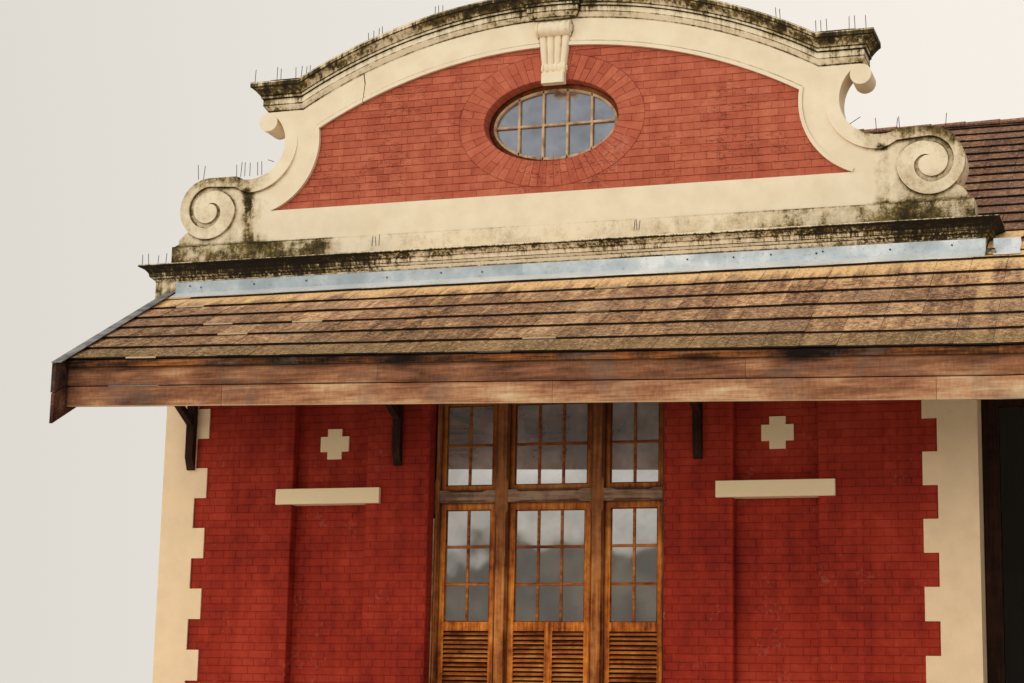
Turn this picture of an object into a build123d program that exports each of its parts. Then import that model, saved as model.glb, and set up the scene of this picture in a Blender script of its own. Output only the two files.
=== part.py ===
"""End pavilion of a small brick railway station, with the first bay of its wing.

Units are millimetres. X runs to the right along the front, Y into the building, Z up.
The origin is on the ground, in the middle of the pavilion's front wall plane.
"""
import os
from math import atan2, cos, degrees, hypot, pi, radians, sin, sqrt, tan

from build123d import *

os.makedirs("parts", exist_ok=True)

# Walls
half_w = 4002.0
wall_t = 400.0
wall_h = 4200.0
build_back = 7850.0
wing_front = 350.0
wing_end = 8400.0
floor_t = 60.0
sill_nose = 40.0
wing_door_w = 1498.0
wing_door_h = 3300.0
wing_jamb = 150.0
wing_frame_t = 110.0

# Quoins: long and short blocks, four brick courses each
quoin_h = 300.0
quoin_long = 467.0
quoin_short = 335.0
quoin_proud = 20.0

# Recessed panels with their bars and crosses
panel_in = 1815.0
panel_w = 789.0
panel_depth = 120.0
bar_over = 153.0
bar_z = 2320.0
bar_h = 150.0
bar_proud = 50.0
cross_z = 2925.0
cross_arm = 150.0
cross_span = 300.0
cross_proud = 25.0

# Doorway and joinery
door_half = 1167.0
door_h = 3400.0
frame_y = 150.0
frame_back = 250.0
stop_t = 49.0
rebate = 12.0
jamb_w = 55.0
mullion_in = 412.0
mullion_w = 128.0
transom_z = 2330.0
transom_h = 120.0
head_h = 70.0
leaf_t = 45.0
leaf_gap = 7.0
stile_w = 70.0
top_rail = 75.0
mid_rail_z = 1110.0
mid_rail_h = 85.0
bottom_rail = 160.0
muntin_w = 78.0
louvre_t = 12.0
glass_t = 5.0
light_rail = 60.0
light_stile = 60.0

# Butt hinges on the room side of the leaf
hinge_zs = [300.0, 1200.0, 2100.0]
hinge_h = 100.0
knuckle_r = 8.0
pin_r = 4.0
pin_play = 0.05
knuckle_gap = 0.5
axis_out = 10.0
hinge_plate_t = 3.0
hinge_plate_w = 30.0
hinge_plate_off = 11.0
tongue_t = 5.5

# Frieze and main cornice
frieze_over = 143.0
frieze_y = -170.0
frieze_drop = 300.0
cornice_up = 400.0
gable_back = 280.0
main_profile = [(0, 0), (23, 30), (50, 50), (53, 58), (60, 88), (93, 125), (122, 140), (140, 144), (140, 164)]

# Gable plinth with its sloped shoulders, and the band under the brick field
plinth_h = 231.0
plinth_y = -55.0
plinth_over = 43.0
shoulder_w = 160.0
shoulder_h = 147.0
shoulder_steps = [(0.39, 0.20), (0.41, 0.46), (0.59, 0.71), (0.81, 0.90), (1.0, 1.0)]
base_h = 325.0

# Arched gable
face_y = -30.0
field_rise = 1482.0
arch_w = 272.0
arch_sag = 713.0
block_w = 390.0
cap_block_in = 40.0
cap_block_h = 35.0
cap_block_out = 70.0
sweep_past = 3.0
arch_profile = [(0, 0), (20, 25), (45, 62), (45, 128), (58, 134), (66, 160), (105, 205), (137, 232), (150, 240),
                (150, 290)]

# Scrolls at the sides of the gable: a C curve, a small knob above it and a volute below
block_to_curve = 178.0
curve_to_vol = 447.0
vol_in = 390.0
vol_up = 367.0
vol_r = 338.0
knob_r = 100.0
knob_bite = 8.0
knob_ang = 128.0
foot_ang = radians(70)
curve_above = 0.427
curve_in_part = 0.5
curve_band_part = 0.677
relief = 32.0
edge_w = 36.0
edge_t = 14.0
cusp_w = 22.0
cusp_h = 4.0
cusp_ang = 288.0
cusp_in_ang = 289.0
cusp_in_part = 0.616
knob_end = 65.0
knob_clear = 14.0
fade_up = 790.0
fade_h = 420.0
band_back = 270.0
band_n = 16
spiral_outer = [(90, 1.0), (-38, 0.905), (-180, 0.893), (-270, 0.56), (-450, 0.40), (-540, 0.30), (-630, 0.17)]
spiral_inner = [(90, 0.74), (0, 0.636), (-90, 0.562), (-180, 0.414), (-270, 0.17)]

# Oval window
oval_up = 738.0
oval_a = 692.0
oval_b = 416.0
oval_frame = 58.0
oval_y = 150.0
oval_frame_t = 70.0
oval_glass_in = 30.0

# Keystone console: a large roll above, a small roll below, and a foot
key_x = 35.0
key_top_w = 370.0
key_neck_w = 312.0
key_low_w = 235.0
key_small_w = 265.0
key_foot_w = 233.0
key_roll_r = 80.0
key_roll_out = 132.0
key_small_r = 58.0
key_small_out = 72.0
key_neck_out = 68.0
neck_bend = 2.6
neck_meet_out = 0.6
neck_meet_down = 0.8
neck_n = 8
roll_n = 14
key_foot_out = 90.0
key_foot_h = 65.0
key_foot_slope = 42.0
key_drop = 392.0
key_height = 640.0
key_break_w = 430.0
key_break_out = 60.0

# Roofs
heel_h = 420.0
pitch = radians(30)
roof_t = 120.0
eave_over = 248.0
wing_eave_over = 300.0
verge_over = 60.0
roof_back_over = 150.0
cap_h = 45.0
cap_half = 130.0

# Canopy: its eave drops towards the right, as the photograph shows
can_in = 22.0
can_end_in = 40.0
can_down = 130.0
can_eave_y = -2075.0
can_t = 85.0
drop_past = 398.0
eave_drop = 200.0
can_fall = 1004.0
board_h = 192.0
board_t = 30.0
fascia_y = -2030.0
barge_t = 40.0
barge_h = 560.0
barge_front = -2240.0
barge_up = 14.0
sheet_t = 8.0
sheet_w = 105.0
sheet_over = 10.0
flash_t = 6.0
flash_up = 115.0
flash_run = 130.0
flash_joint = -200.0
flash_in = 70.0
flash_lift = 2.0

# Brackets and the beam they carry
bracket_in = 290.0
bracket_mid = 1490.0
wing_bracket_in = 350.0
bracket_w = 80.0
post_t = 80.0
post_down = 1790.0
foot_taper = 125.0
foot_t = 25.0
arm_h = 120.0
arm_reach = -1500.0
strut_t = 65.0
strut_down = 1350.0
strut_reach = 580.0
strut_in = 8.0
strut_top_part = 1.6
strut_foot_part = 1.3
beam_t = 90.0
beam_h = 130.0

# Cutting tools run past what they cut by this much, or reach far past the building
past = 10.0
reach = 4 * half_w


def block(x0, x1, y0, y1, z0, z1):
    """Box between two corners."""
    return Pos((x0 + x1) / 2, (y0 + y1) / 2, (z0 + z1) / 2) * Box(x1 - x0, y1 - y0, z1 - z0)


def poly_xz(pts, y0, y1):
    """Polygon in the front view, from depth y0 to y1."""
    wire = Wire.make_polygon([Vector(x, y0, z) for x, z in pts], close=True)
    return Solid.extrude(Face(wire), Vector(0, y1 - y0, 0))


def poly_yz(pts, x0, x1):
    """Polygon in the side view, from x0 to x1."""
    wire = Wire.make_polygon([Vector(x0, y, z) for y, z in pts], close=True)
    return Solid.extrude(Face(wire), Vector(x1 - x0, 0, 0))


def at(c, r, a):
    return (c[0] + r * cos(a), c[1] + r * sin(a))


def arc(c, r, a0, a1, n):
    """Points on a circle, from angle a0 to a1 in radians."""
    return [at(c, r, a0 + (a1 - a0) * i / n) for i in range(n + 1)]


def spiral(c, r, table, step=9.0):
    """Points on a spiral through (degrees, part of r) pairs."""
    out = []
    for (a0, f0), (a1, f1) in zip(table, table[1:]):
        n = max(1, round(abs(a1 - a0) / step))
        for i in range(n):
            t = i / n
            out.append(at(c, r * (f0 + (f1 - f0) * t), radians(a0 + (a1 - a0) * t)))
    out.append(at(c, r * table[-1][1], radians(table[-1][0])))
    return out


def tier(x0, x1, y0, y1, z0, z1, p0, p1, left=True, right=True):
    """One step of a moulding that returns round a block's front and sides."""
    def ring(p, z):
        xa = x0 - (p if left else 0)
        xb = x1 + (p if right else 0)
        return Wire.make_polygon([Vector(xa, y0 - p, z), Vector(xb, y0 - p, z), Vector(xb, y1, z),
                                  Vector(xa, y1, z)], close=True)
    return Solid.make_loft([ring(p0, z0), ring(p1, z1)], ruled=True)


def moulding(x0, x1, y0, y1, z, profile, left=True, right=True):
    """Stacked steps from a profile of (projection, height) pairs."""
    out = None
    for (p0, h0), (p1, h1) in zip(profile, profile[1:]):
        if h1 > h0:
            step = tier(x0, x1, y0, y1, z + h0, z + h1, p0, p1, left, right)
            out = step if out is None else out + step
    return out


def mirror_x(shape):
    return mirror(shape, about=Plane.YZ)


def save(name, *shapes):
    """Writes one node's file. Pieces given one by one stay separate solids."""
    solids = [one for shape in shapes for one in shape.solids()]
    out = solids[0] if len(solids) == 1 else Compound(children=solids)
    out.label = name
    export_step(out, "parts/" + name + ".step")
    print(name, len(solids), round(out.volume / 1e9, 4))


# Heights and half widths that follow from the sizes above
frieze_half = half_w + frieze_over
frieze_z = wall_h - frieze_drop
cornice_z = wall_h + cornice_up
cornice_top = cornice_z + main_profile[-1][1]
plinth_half = half_w + plinth_over
plinth_top = cornice_top + plinth_h
gable_base = plinth_top + base_h
vol_x = plinth_half - vol_in
curve_x = vol_x - curve_to_vol
block_x = curve_x - block_to_curve
mitre_x = block_x - block_w
crown_z = gable_base + field_rise + arch_w
block_z = crown_z - arch_sag
bed_r = (mitre_x ** 2 + arch_sag ** 2) / (2 * arch_sag)
arch_r = bed_r - arch_w
arch_cz = crown_z - bed_r
block_top = block_z + arch_profile[-1][1]
top_r = hypot(mitre_x, block_top - arch_cz)
curve_r = (block_z - gable_base) / (curve_above + sin(foot_ang))
curve_z = block_z - curve_above * curve_r
curve_in = curve_in_part * curve_r
vol_z = plinth_top + vol_up
shelf_z = vol_z + vol_r
oval_z = gable_base + oval_up
slope = tan(pitch)
drop_t = roof_t / cos(pitch)
ridge_z = wall_h + heel_h + half_w * slope
ridge_y = (wing_front + build_back) / 2
pav_eave = half_w + eave_over
wing_eave = wing_front - wing_eave_over
roof_back = build_back + roof_back_over
inner = half_w - wall_t
wing_in = wing_front + wall_t
back_y = build_back - wall_t
wing_door_x1 = half_w + wing_door_w
can_wall_z = cornice_z - can_down
eave_z = can_wall_z - can_fall
post_foot = can_wall_z - post_down
strut_foot = can_wall_z - strut_down


def pav_z(x):
    """Outer roof surface of the pavilion."""
    return ridge_z - abs(x) * slope


def wing_z(y):
    """Outer roof surface of the wing."""
    return ridge_z - abs(y - ridge_y) * slope


# Pavilion walls. The right one carries the corner above the wall head, behind the frieze.
def front_side():
    """Right part of the front wall, with its recessed panel."""
    wall = block(door_half, half_w, 0, wall_t, 0, wall_h)
    return wall - block(panel_in, panel_in + panel_w, -past, panel_depth, -past, frieze_z)


def side_head(y1):
    """Wall under the roof slope, above the wall head, from the gable's back to y1."""
    return poly_xz([(half_w, wall_h), (inner, wall_h), (inner, pav_z(inner) - drop_t),
                    (half_w, pav_z(half_w) - drop_t)], gable_back, y1)


front_right = front_side()
save("front_wall_right", front_right + side_head(wing_in))
save("front_wall_left", mirror_x(front_right))
save("front_wall_over_door", block(-door_half, door_half, 0, wall_t, door_h, wall_h))

side = poly_xz([(half_w, 0), (inner, 0), (inner, pav_z(inner) - drop_t), (half_w, pav_z(half_w) - drop_t)],
               wall_t, back_y)
save("side_wall_left", mirror_x(side + side_head(wall_t)))
save("back_wall", poly_xz([(-half_w, 0), (half_w, 0), (half_w, pav_z(half_w) - drop_t), (0, ridge_z - drop_t),
              (-half_w, pav_z(half_w) - drop_t)], back_y, build_back))


# Wing walls
def wing_wall(y0, y1, x0, x1, z0):
    """Long wall of the wing, up to the roof's underside."""
    return poly_yz([(y0, z0), (y1, z0), (y1, wing_z(y1) - drop_t), (y0, wing_z(y0) - drop_t)], x0, x1)


end_in = wing_end - wall_t
save("wing_back_wall", wing_wall(back_y, build_back, half_w, end_in, 0))
save("wing_front_wall", wing_wall(wing_front, wing_in, wing_door_x1, end_in, 0))
save("wing_wall_over_door", wing_wall(wing_front, wing_in, half_w, wing_door_x1, wing_door_h))
end_pts = [(wing_front, 0), (build_back, 0), (build_back, wing_z(build_back) - drop_t),
           (ridge_y, ridge_z - drop_t), (wing_front, wing_z(wing_front) - drop_t)]
save("end_wall", poly_yz(end_pts, end_in, wing_end))

# Floor and door stone
floor = block(-inner, half_w, wall_t, back_y, 0, floor_t)
floor = floor + block(half_w, end_in, wing_in, back_y, 0, floor_t)
floor = floor + block(half_w, wing_door_x1, wing_front, wing_in, 0, floor_t)
save("floor", floor)
save("door_sill", block(-door_half, door_half, -sill_nose, wall_t, 0, floor_t))

# Roofs: the wing's roof meets the pavilion's in two valleys
pav_sec = [(0, ridge_z), (pav_eave, pav_z(pav_eave)), (pav_eave, pav_z(pav_eave) - drop_t),
           (0, ridge_z - drop_t)]
pav_right = poly_xz(pav_sec, gable_back, roof_back)
pav_prism = poly_xz([(-reach, pav_z(reach)), (reach, pav_z(reach)), (0, ridge_z)], -reach, reach)
wing_room_prism = poly_yz([(-reach, wing_z(-reach) - drop_t), (ridge_y, ridge_z - drop_t),
                           (reach, wing_z(reach) - drop_t)], 0, reach)
save("pavilion_roof_left", mirror_x(pav_right))
save("pavilion_roof_right", pav_right - wing_room_prism)


def ridge_pts(c):
    """Section of a ridge capping."""
    low = ridge_z - cap_half * slope
    return [(c - cap_half, low), (c, ridge_z), (c + cap_half, low), (c + cap_half, low + cap_h),
            (c, ridge_z + cap_h), (c - cap_half, low + cap_h)]


pav_ridge = poly_xz(ridge_pts(0), gable_back, roof_back)
save("pavilion_ridge", pav_ridge)

back_eave = build_back + wing_eave_over
roof_end = wing_end + verge_over
front_sec = [(wing_eave, wing_z(wing_eave)), (ridge_y, ridge_z), (ridge_y, ridge_z - drop_t),
             (wing_eave, wing_z(wing_eave) - drop_t)]
back_sec = [(ridge_y, ridge_z), (back_eave, wing_z(back_eave)), (back_eave, wing_z(back_eave) - drop_t),
            (ridge_y, ridge_z - drop_t)]
gable_space = block(-past, frieze_half + main_profile[-1][0] + past, -reach, gable_back, frieze_z, reach)
save("wing_roof_front", poly_yz(front_sec, 0, roof_end) - pav_prism - gable_space - pav_ridge)
save("wing_roof_back", poly_yz(back_sec, 0, roof_end) - pav_prism - pav_ridge)
save("wing_ridge", poly_yz(ridge_pts(ridge_y), 0, roof_end) - pav_ridge - pav_prism)

# Frieze and main cornice
save("frieze", block(-frieze_half, frieze_half, frieze_y, 0, frieze_z, cornice_z)
     + block(-frieze_half, frieze_half, 0, gable_back, wall_h, cornice_z))
save("main_cornice", moulding(-frieze_half, frieze_half, frieze_y, gable_back, cornice_z, main_profile))


def meet(ca, ra, cb, rb):
    """Crossing of two circles in the front view, to the left of the way from the first centre to the second."""
    dx = cb[0] - ca[0]
    dz = cb[1] - ca[1]
    d = hypot(dx, dz)
    a = (ra ** 2 - rb ** 2 + d ** 2) / (2 * d)
    h = sqrt(ra ** 2 - a ** 2)
    return (ca[0] + a * dx / d - h * dz / d, ca[1] + a * dz / d + h * dx / d)


def angle(c, p):
    """Angle from a centre to a point."""
    return atan2(p[1] - c[1], p[0] - c[0])


curve_c = (curve_x, curve_z)
knob_c = at(curve_c, curve_in - knob_r + knob_bite, radians(knob_ang))
knob_foot = meet(curve_c, curve_in, knob_c, knob_r)
vol_c = (vol_x, vol_z)
spring = meet((0, arch_cz), arch_r, curve_c, curve_r)
ang_spring = angle(curve_c, spring)
ang_base = pi + foot_ang
base_x = curve_x - curve_r * cos(foot_ang)
cusp = at(curve_c, curve_in, radians(cusp_ang))
edge_n = 24


def scroll_points():
    """The right scroll's outline, anticlockwise from the arch's foot down the brick edge."""
    pts = arc(curve_c, curve_r, ang_spring, ang_base, edge_n)
    pts += [(base_x, plinth_top), (plinth_half, plinth_top)]
    pts += [(plinth_half - shoulder_w * u, plinth_top + shoulder_h * v) for u, v in shoulder_steps]
    pts += spiral(vol_c, vol_r, spiral_outer[:2][::-1])
    pts += [(cusp[0] + cusp_w, shelf_z), (cusp[0], shelf_z - cusp_h)]
    pts += arc(curve_c, curve_in, radians(cusp_ang), angle(curve_c, knob_foot), edge_n)[:-1]
    start = angle(knob_c, knob_foot)
    pts += arc(knob_c, knob_r, start, radians(knob_end) + (2 * pi if start > 0 else 0), edge_n)
    pts += [(knob_c[0], block_z), (mitre_x, block_z)]
    return pts


# Raised band: down the C curve, over the shelf and round into the volute. Towards its top it fades out.
band_ang = angle(curve_c, knob_foot) + radians(knob_clear)
band_out = arc(curve_c, curve_in, band_ang, radians(cusp_ang), band_n) + [(cusp[0] + cusp_w, shelf_z)]
band_out += spiral(vol_c, vol_r, spiral_outer)[:-1]
band_in = arc(curve_c, curve_band_part * curve_r, band_ang, radians(band_back), band_n)
band_in += spiral(curve_c, curve_r, [(band_back, curve_band_part), (cusp_in_ang, cusp_in_part)])[1:]
band_in += spiral(vol_c, vol_r, spiral_inner)
fade_z = gable_base + fade_up
fade = poly_yz([(face_y, fade_z), (face_y - relief - past, fade_z - fade_h * (1 + past / relief)),
                (face_y - relief - past, reach), (face_y, reach)], 0, reach)
scroll = poly_xz(scroll_points(), face_y, gable_back)
scroll = scroll + (poly_xz(band_out + band_in[::-1], face_y - relief, face_y) - fade)
scroll = scroll - block(0, reach, -reach, reach, block_z, reach)
save("gable_scroll_right", scroll)
save("gable_scroll_left", mirror_x(scroll))

# Plinth, with the band between the scrolls and under the brick field
save("gable_plinth", block(-plinth_half, plinth_half, plinth_y, gable_back, cornice_top, plinth_top)
     + block(-base_x, base_x, face_y, gable_back, plinth_top, gable_base))

# Brick field under the arch
ang_arch = angle((0, arch_cz), spring)
arch_n = 44


def edge_line():
    """The brick field's edge from the left foot over the arch to the right foot."""
    right = arc(curve_c, curve_r, ang_spring, ang_base, edge_n)
    left = [(-x, z) for x, z in right]
    top = arc((0, arch_cz), arch_r, pi - ang_arch, ang_arch, arch_n)
    return left[::-1] + top[1:-1] + right


def beside(line, d):
    """The same line moved sideways by d to its left, with mitred corners."""
    out = []
    for i, p in enumerate(line):
        a = line[max(i - 1, 0)]
        b = line[i + 1] if i + 1 < len(line) else p
        a0 = angle(a, p) if i > 0 else angle(p, b)
        a1 = angle(p, b) if i + 1 < len(line) else a0
        turn = (a1 - a0 + pi) % (2 * pi) - pi
        out.append(at(p, d / cos(turn / 2), a0 + turn / 2 + pi / 2))
    return out


def oval(a, b, y0, y1):
    """Upright oval prism."""
    ell = Edge.make_ellipse(a, b, plane=Plane(origin=(0, y0, oval_z), x_dir=(1, 0, 0), z_dir=(0, 1, 0)))
    return Solid.extrude(Face(Wire([ell])), Vector(0, y1 - y0, 0))


# Thin raised edge round the brick field, on the arch and both scrolls
line = edge_line()
edge = poly_xz(line + beside(line, edge_w)[::-1], face_y - edge_t, face_y)
edge = edge - block(-reach, reach, -reach, reach, -reach, gable_base)
oval_in_a = oval_a - oval_frame
oval_in_b = oval_b - oval_frame
glass_y = oval_y + oval_glass_in
save("gable_wall", poly_xz(line, 0, gable_back) - oval(oval_a, oval_b, -past, gable_back + past))
save("oval_frame", oval(oval_a, oval_b, oval_y, oval_y + oval_frame_t)
     - oval(oval_in_a, oval_in_b, oval_y - past, oval_y + oval_frame_t + past))
save("oval_glass", oval(oval_in_a, oval_in_b, glass_y, glass_y + glass_t))

# Arch over the field, cut level with the end blocks
ang_mitre = angle((0, arch_cz), (mitre_x, block_z))
outer = arc((0, arch_cz), bed_r, ang_mitre, pi - ang_mitre, arch_n)
under = arc((0, arch_cz), arch_r, ang_arch, pi - ang_arch, arch_n)
save("gable_arch", poly_xz(outer + under[::-1], face_y, gable_back))

# Arched cornice: revolved about the arch's centre, with a returned block at each end and one over the keystone
rise = arch_profile[-1][1]
radial = top_r - bed_r
sweep = [Vector(0, face_y - p, arch_cz + bed_r + h / rise * radial) for p, h in arch_profile]
sweep += [Vector(0, gable_back, arch_cz + top_r), Vector(0, gable_back, arch_cz + bed_r)]
sweep_face = Face(Wire.make_polygon(sweep, close=True))
sweep_half = 90 - degrees(ang_mitre) + sweep_past
axis = Axis((0, 0, arch_cz), (0, 1, 0))
ring = Solid.revolve(sweep_face.rotate(axis, -sweep_half), 2 * sweep_half, axis)
ring = ring & block(-mitre_x, mitre_x, -reach, reach, gable_base, reach)
ends = moulding(mitre_x, block_x, face_y, gable_back, block_z, arch_profile, left=False)
ends = ends + block(mitre_x, block_x - cap_block_in, face_y - cap_block_out, gable_back, block_top,
                    block_top + cap_block_h)
crown_profile = [(p, h / rise * radial) for p, h in arch_profile]
crown = moulding(key_x - key_break_w / 2, key_x + key_break_w / 2, face_y - key_break_out, face_y,
                 arch_cz + bed_r, crown_profile)
cornice = ring + ends + mirror_x(ends) + crown
save("arch_cornice", cornice)

# Keystone console: its side view, cut to the taper of its front
key_z0 = crown_z - arch_w - key_drop
key_top = key_z0 + key_height
foot_top = key_z0 + key_foot_slope + key_foot_h
big_c = (-key_roll_out, key_top - key_roll_r)
small_c = (-key_small_out, foot_top + key_small_r)
neck_z = small_c[1] + key_small_r
neck = []
for i in range(neck_n + 1):
    t = i / neck_n
    out = key_neck_out + (key_roll_out + neck_meet_out * key_roll_r - key_neck_out) * t ** neck_bend
    neck.append((-out, neck_z + (big_c[1] - neck_meet_down * key_roll_r - neck_z) * t))
side_view = [(0, key_z0), (-key_foot_out, key_z0 + key_foot_slope), (-key_foot_out, foot_top)]
side_view += arc(small_c, key_small_r, radians(270), radians(95), roll_n)
side_view += neck
side_view += arc(big_c, key_roll_r, radians(210), radians(90), roll_n)
side_view += [(0, key_top)]
taper = [(key_foot_w / 2, key_z0 - past), (key_foot_w / 2, foot_top), (key_low_w / 2, foot_top),
         (key_neck_w / 2, big_c[1] - key_roll_r), (key_neck_w / 2, key_top + past)]
front_view = [(key_x + x, z) for x, z in taper] + [(key_x - x, z) for x, z in taper[::-1]]
console = poly_yz(side_view, key_x - key_top_w, key_x + key_top_w) & poly_xz(front_view, -reach, 0)
for centre, r, w in ((big_c, key_roll_r, key_top_w), (small_c, key_small_r, key_small_w)):
    console = console + Pos(key_x, centre[0], centre[1]) * Rot(0, 90, 0) * Cylinder(r, w)
arch_body = poly_xz(outer + under[::-1], face_y, 0)
keystone = console - arch_body - cornice
save("keystone", keystone)
save("field_edge", edge - keystone)


# Quoins
def quoin_stack():
    """Right corner blocks, front and side faces, up to the frieze."""
    out = None
    n = int(frieze_z // quoin_h) + 1
    for i in range(n):
        w = quoin_long if i % 2 == 0 else quoin_short
        z0 = i * quoin_h
        z1 = min(z0 + quoin_h, frieze_z)
        if z1 > z0:
            piece = block(half_w - w, half_w + quoin_proud, -quoin_proud, 0, z0, z1)
            piece = piece + block(half_w, half_w + quoin_proud, 0, wing_front, z0, z1)
            out = piece if out is None else out + piece
    return out


quoins = quoin_stack()
save("quoins", quoins, mirror_x(quoins))

# Bars and crosses of the recessed panels
panel_out = panel_in + panel_w
bar = block(panel_in - bar_over, panel_out + bar_over, -bar_proud, 0, bar_z, bar_z + bar_h)
bar = bar + block(panel_in, panel_out, 0, panel_depth, bar_z, bar_z + bar_h)
save("panel_bars", bar, mirror_x(bar))
cross_x = (panel_in + panel_out) / 2
half_arm = cross_arm / 2
half_span = cross_span / 2
cross_y = panel_depth - cross_proud
cross = block(cross_x - half_span, cross_x + half_span, cross_y, panel_depth, cross_z - half_arm,
              cross_z + half_arm)
cross = cross + block(cross_x - half_arm, cross_x + half_arm, cross_y, panel_depth, cross_z - half_span,
                      cross_z + half_span)
save("panel_crosses", cross, mirror_x(cross))

# Door frame: jambs, mullions, transom, head, with stops in front of the leaves
mull_out = mullion_in + mullion_w
bays = [(-door_half + jamb_w, -mull_out), (-mullion_in, mullion_in), (mull_out, door_half - jamb_w)]
head_z = door_h - head_h
frame = block(-door_half, door_half, frame_y, frame_back, floor_t, door_h)
for x0, x1 in bays:
    frame = frame - block(x0, x1, frame_y - past, frame_back + past, floor_t - past, transom_z)
    frame = frame - block(x0 - rebate, x1 + rebate, frame_y + stop_t, frame_back + past, floor_t - past,
                          transom_z + rebate)
    frame = frame - block(x0, x1, frame_y - past, frame_back + past, transom_z + transom_h, head_z)
    frame = frame - block(x0 - rebate, x1 + rebate, frame_y + stop_t, frame_back + past,
                          transom_z + transom_h - rebate, head_z + rebate)
save("door_frame", frame)

leaf_back = frame_back
leaf_front = leaf_back - leaf_t
pane_y = (leaf_front + leaf_back - glass_t) / 2


def leaf(x0, x1, gap, panels):
    """Door leaf between two frame members, with glass above and thin panels below."""
    a = x0 - rebate + gap
    b = x1 + rebate - gap
    z0 = floor_t + gap
    z1 = transom_z + rebate - gap
    body = block(a, b, leaf_front, leaf_back, z0, z1)
    ga = a + stile_w
    gb = b - stile_w
    gz0 = mid_rail_z + mid_rail_h
    gz1 = z1 - top_rail
    body = body - block(ga, gb, leaf_front - past, leaf_back + past, gz0, gz1)
    w = (gb - ga - (panels - 1) * muntin_w) / panels
    sunk = (leaf_t - louvre_t) / 2
    for i in range(panels):
        p = ga + i * (w + muntin_w)
        body = body - block(p, p + w, leaf_front - past, leaf_front + sunk, z0 + bottom_rail, mid_rail_z)
        body = body - block(p, p + w, leaf_back - sunk, leaf_back + past, z0 + bottom_rail, mid_rail_z)
    return body, block(ga, gb, pane_y, pane_y + glass_t, gz0, gz1)


body, pane = leaf(bays[1][0], bays[1][1], leaf_gap, 2)
save("door_leaf", body)
save("door_leaf_glass", pane)
left_body, left_pane = leaf(bays[0][0], bays[0][1], 0, 1)
right_body, right_pane = leaf(bays[2][0], bays[2][1], 0, 1)
save("side_leaves", left_body, right_body)
save("side_leaf_glass", left_pane, right_pane)

# Hinges: the frame's half carries two knuckles and the pin, the leaf's half the knuckle between them
axis_x = bays[1][0] - rebate + leaf_gap / 2
axis_y = leaf_back + axis_out


def rod(r, z0, z1):
    return Pos(axis_x, axis_y, (z0 + z1) / 2) * Cylinder(r, z1 - z0)


def hinge_half(z, spans, side_sign):
    """Plate on the back face with a tongue and a knuckle for each span of heights."""
    edge = axis_x + side_sign * hinge_plate_off
    far = edge + side_sign * hinge_plate_w
    out = block(min(edge, far), max(edge, far), leaf_back, leaf_back + hinge_plate_t, z, z + hinge_h)
    for z0, z1 in spans:
        near = axis_x + side_sign * leaf_gap / 2
        out = out + block(min(near, edge), max(near, edge), leaf_back, leaf_back + tongue_t, z0, z1)
        out = out + rod(knuckle_r, z0, z1)
    return out


fixed = None
moving = None
for zc in hinge_zs:
    z = zc - hinge_h / 2
    third = hinge_h / 3
    low = (z, z + third - knuckle_gap)
    mid = (z + third, z + 2 * third)
    top = (z + 2 * third + knuckle_gap, z + hinge_h)
    one = hinge_half(z, [low, top], -1) + rod(pin_r, z, z + hinge_h)
    two = hinge_half(z, [mid], 1) - rod(pin_r + pin_play, mid[0] - past, mid[1] + past)
    fixed = one if fixed is None else fixed + one
    moving = two if moving is None else moving + two
save("hinges_frame_half", fixed)
save("hinges_leaf_half", moving)

# Upper lights over the transom
lights = None
top_glass = None
for x0, x1 in bays:
    a = x0 - rebate
    b = x1 + rebate
    z0 = transom_z + transom_h - rebate
    z1 = head_z + rebate
    hole = (a + light_stile, b - light_stile, z0 + light_rail, z1 - light_rail)
    sash = block(a, b, leaf_front, leaf_back, z0, z1)
    sash = sash - block(hole[0], hole[1], leaf_front - past, leaf_back + past, hole[2], hole[3])
    pane = block(hole[0], hole[1], pane_y, pane_y + glass_t, hole[2], hole[3])
    lights = sash if lights is None else lights + sash
    top_glass = pane if top_glass is None else top_glass + pane
save("upper_lights", lights)
save("upper_light_glass", top_glass)

# Open frame of the wing's doorway
wing_frame = block(half_w, wing_door_x1, wing_front, wing_front + wing_frame_t, floor_t, wing_door_h)
wing_frame = wing_frame - block(half_w + wing_jamb + quoin_proud, wing_door_x1 - wing_jamb, 0, wing_in,
                                floor_t - past, wing_door_h - wing_jamb)
save("wing_door_frame", wing_frame)

# Canopy
can_left = -(half_w - can_in)
can_right = wing_end - can_end_in
drop_end = half_w + drop_past


def eave_fall(x):
    """How far the canopy's eave has dropped at x."""
    t = min(max((x - can_left) / (drop_end - can_left), 0.0), 1.0)
    return eave_drop * t


def deck_top(x, y):
    """Height of the tiles' plane."""
    t = (y - frieze_y) / (can_eave_y - frieze_y)
    return can_wall_z + (eave_z - eave_fall(x) - can_wall_z) * t


def deck_section(x):
    front = deck_top(x, can_eave_y)
    pts = [(frieze_y, can_wall_z), (can_eave_y, front), (can_eave_y, front - can_t), (frieze_y, can_wall_z - can_t)]
    return Wire.make_polygon([Vector(x, y, z) for y, z in pts], close=True)


deck = Solid.make_loft([deck_section(can_left), deck_section(drop_end)], ruled=True)
deck = deck + Solid.make_loft([deck_section(drop_end), deck_section(can_right)], ruled=True)
wing_deck = poly_yz([(frieze_y, deck_top(drop_end, frieze_y)), (wing_front, deck_top(drop_end, wing_front)),
                     (wing_front, deck_top(drop_end, wing_front) - can_t),
                     (frieze_y, deck_top(drop_end, frieze_y) - can_t)], frieze_half, can_right)
above_eave = poly_yz([(-reach, wing_z(-reach) - drop_t), (wing_in, wing_z(wing_in) - drop_t), (wing_in, reach),
                      (-reach, reach)], 0, reach)
deck = deck + (wing_deck - above_eave)
save("canopy_deck", deck)


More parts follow.
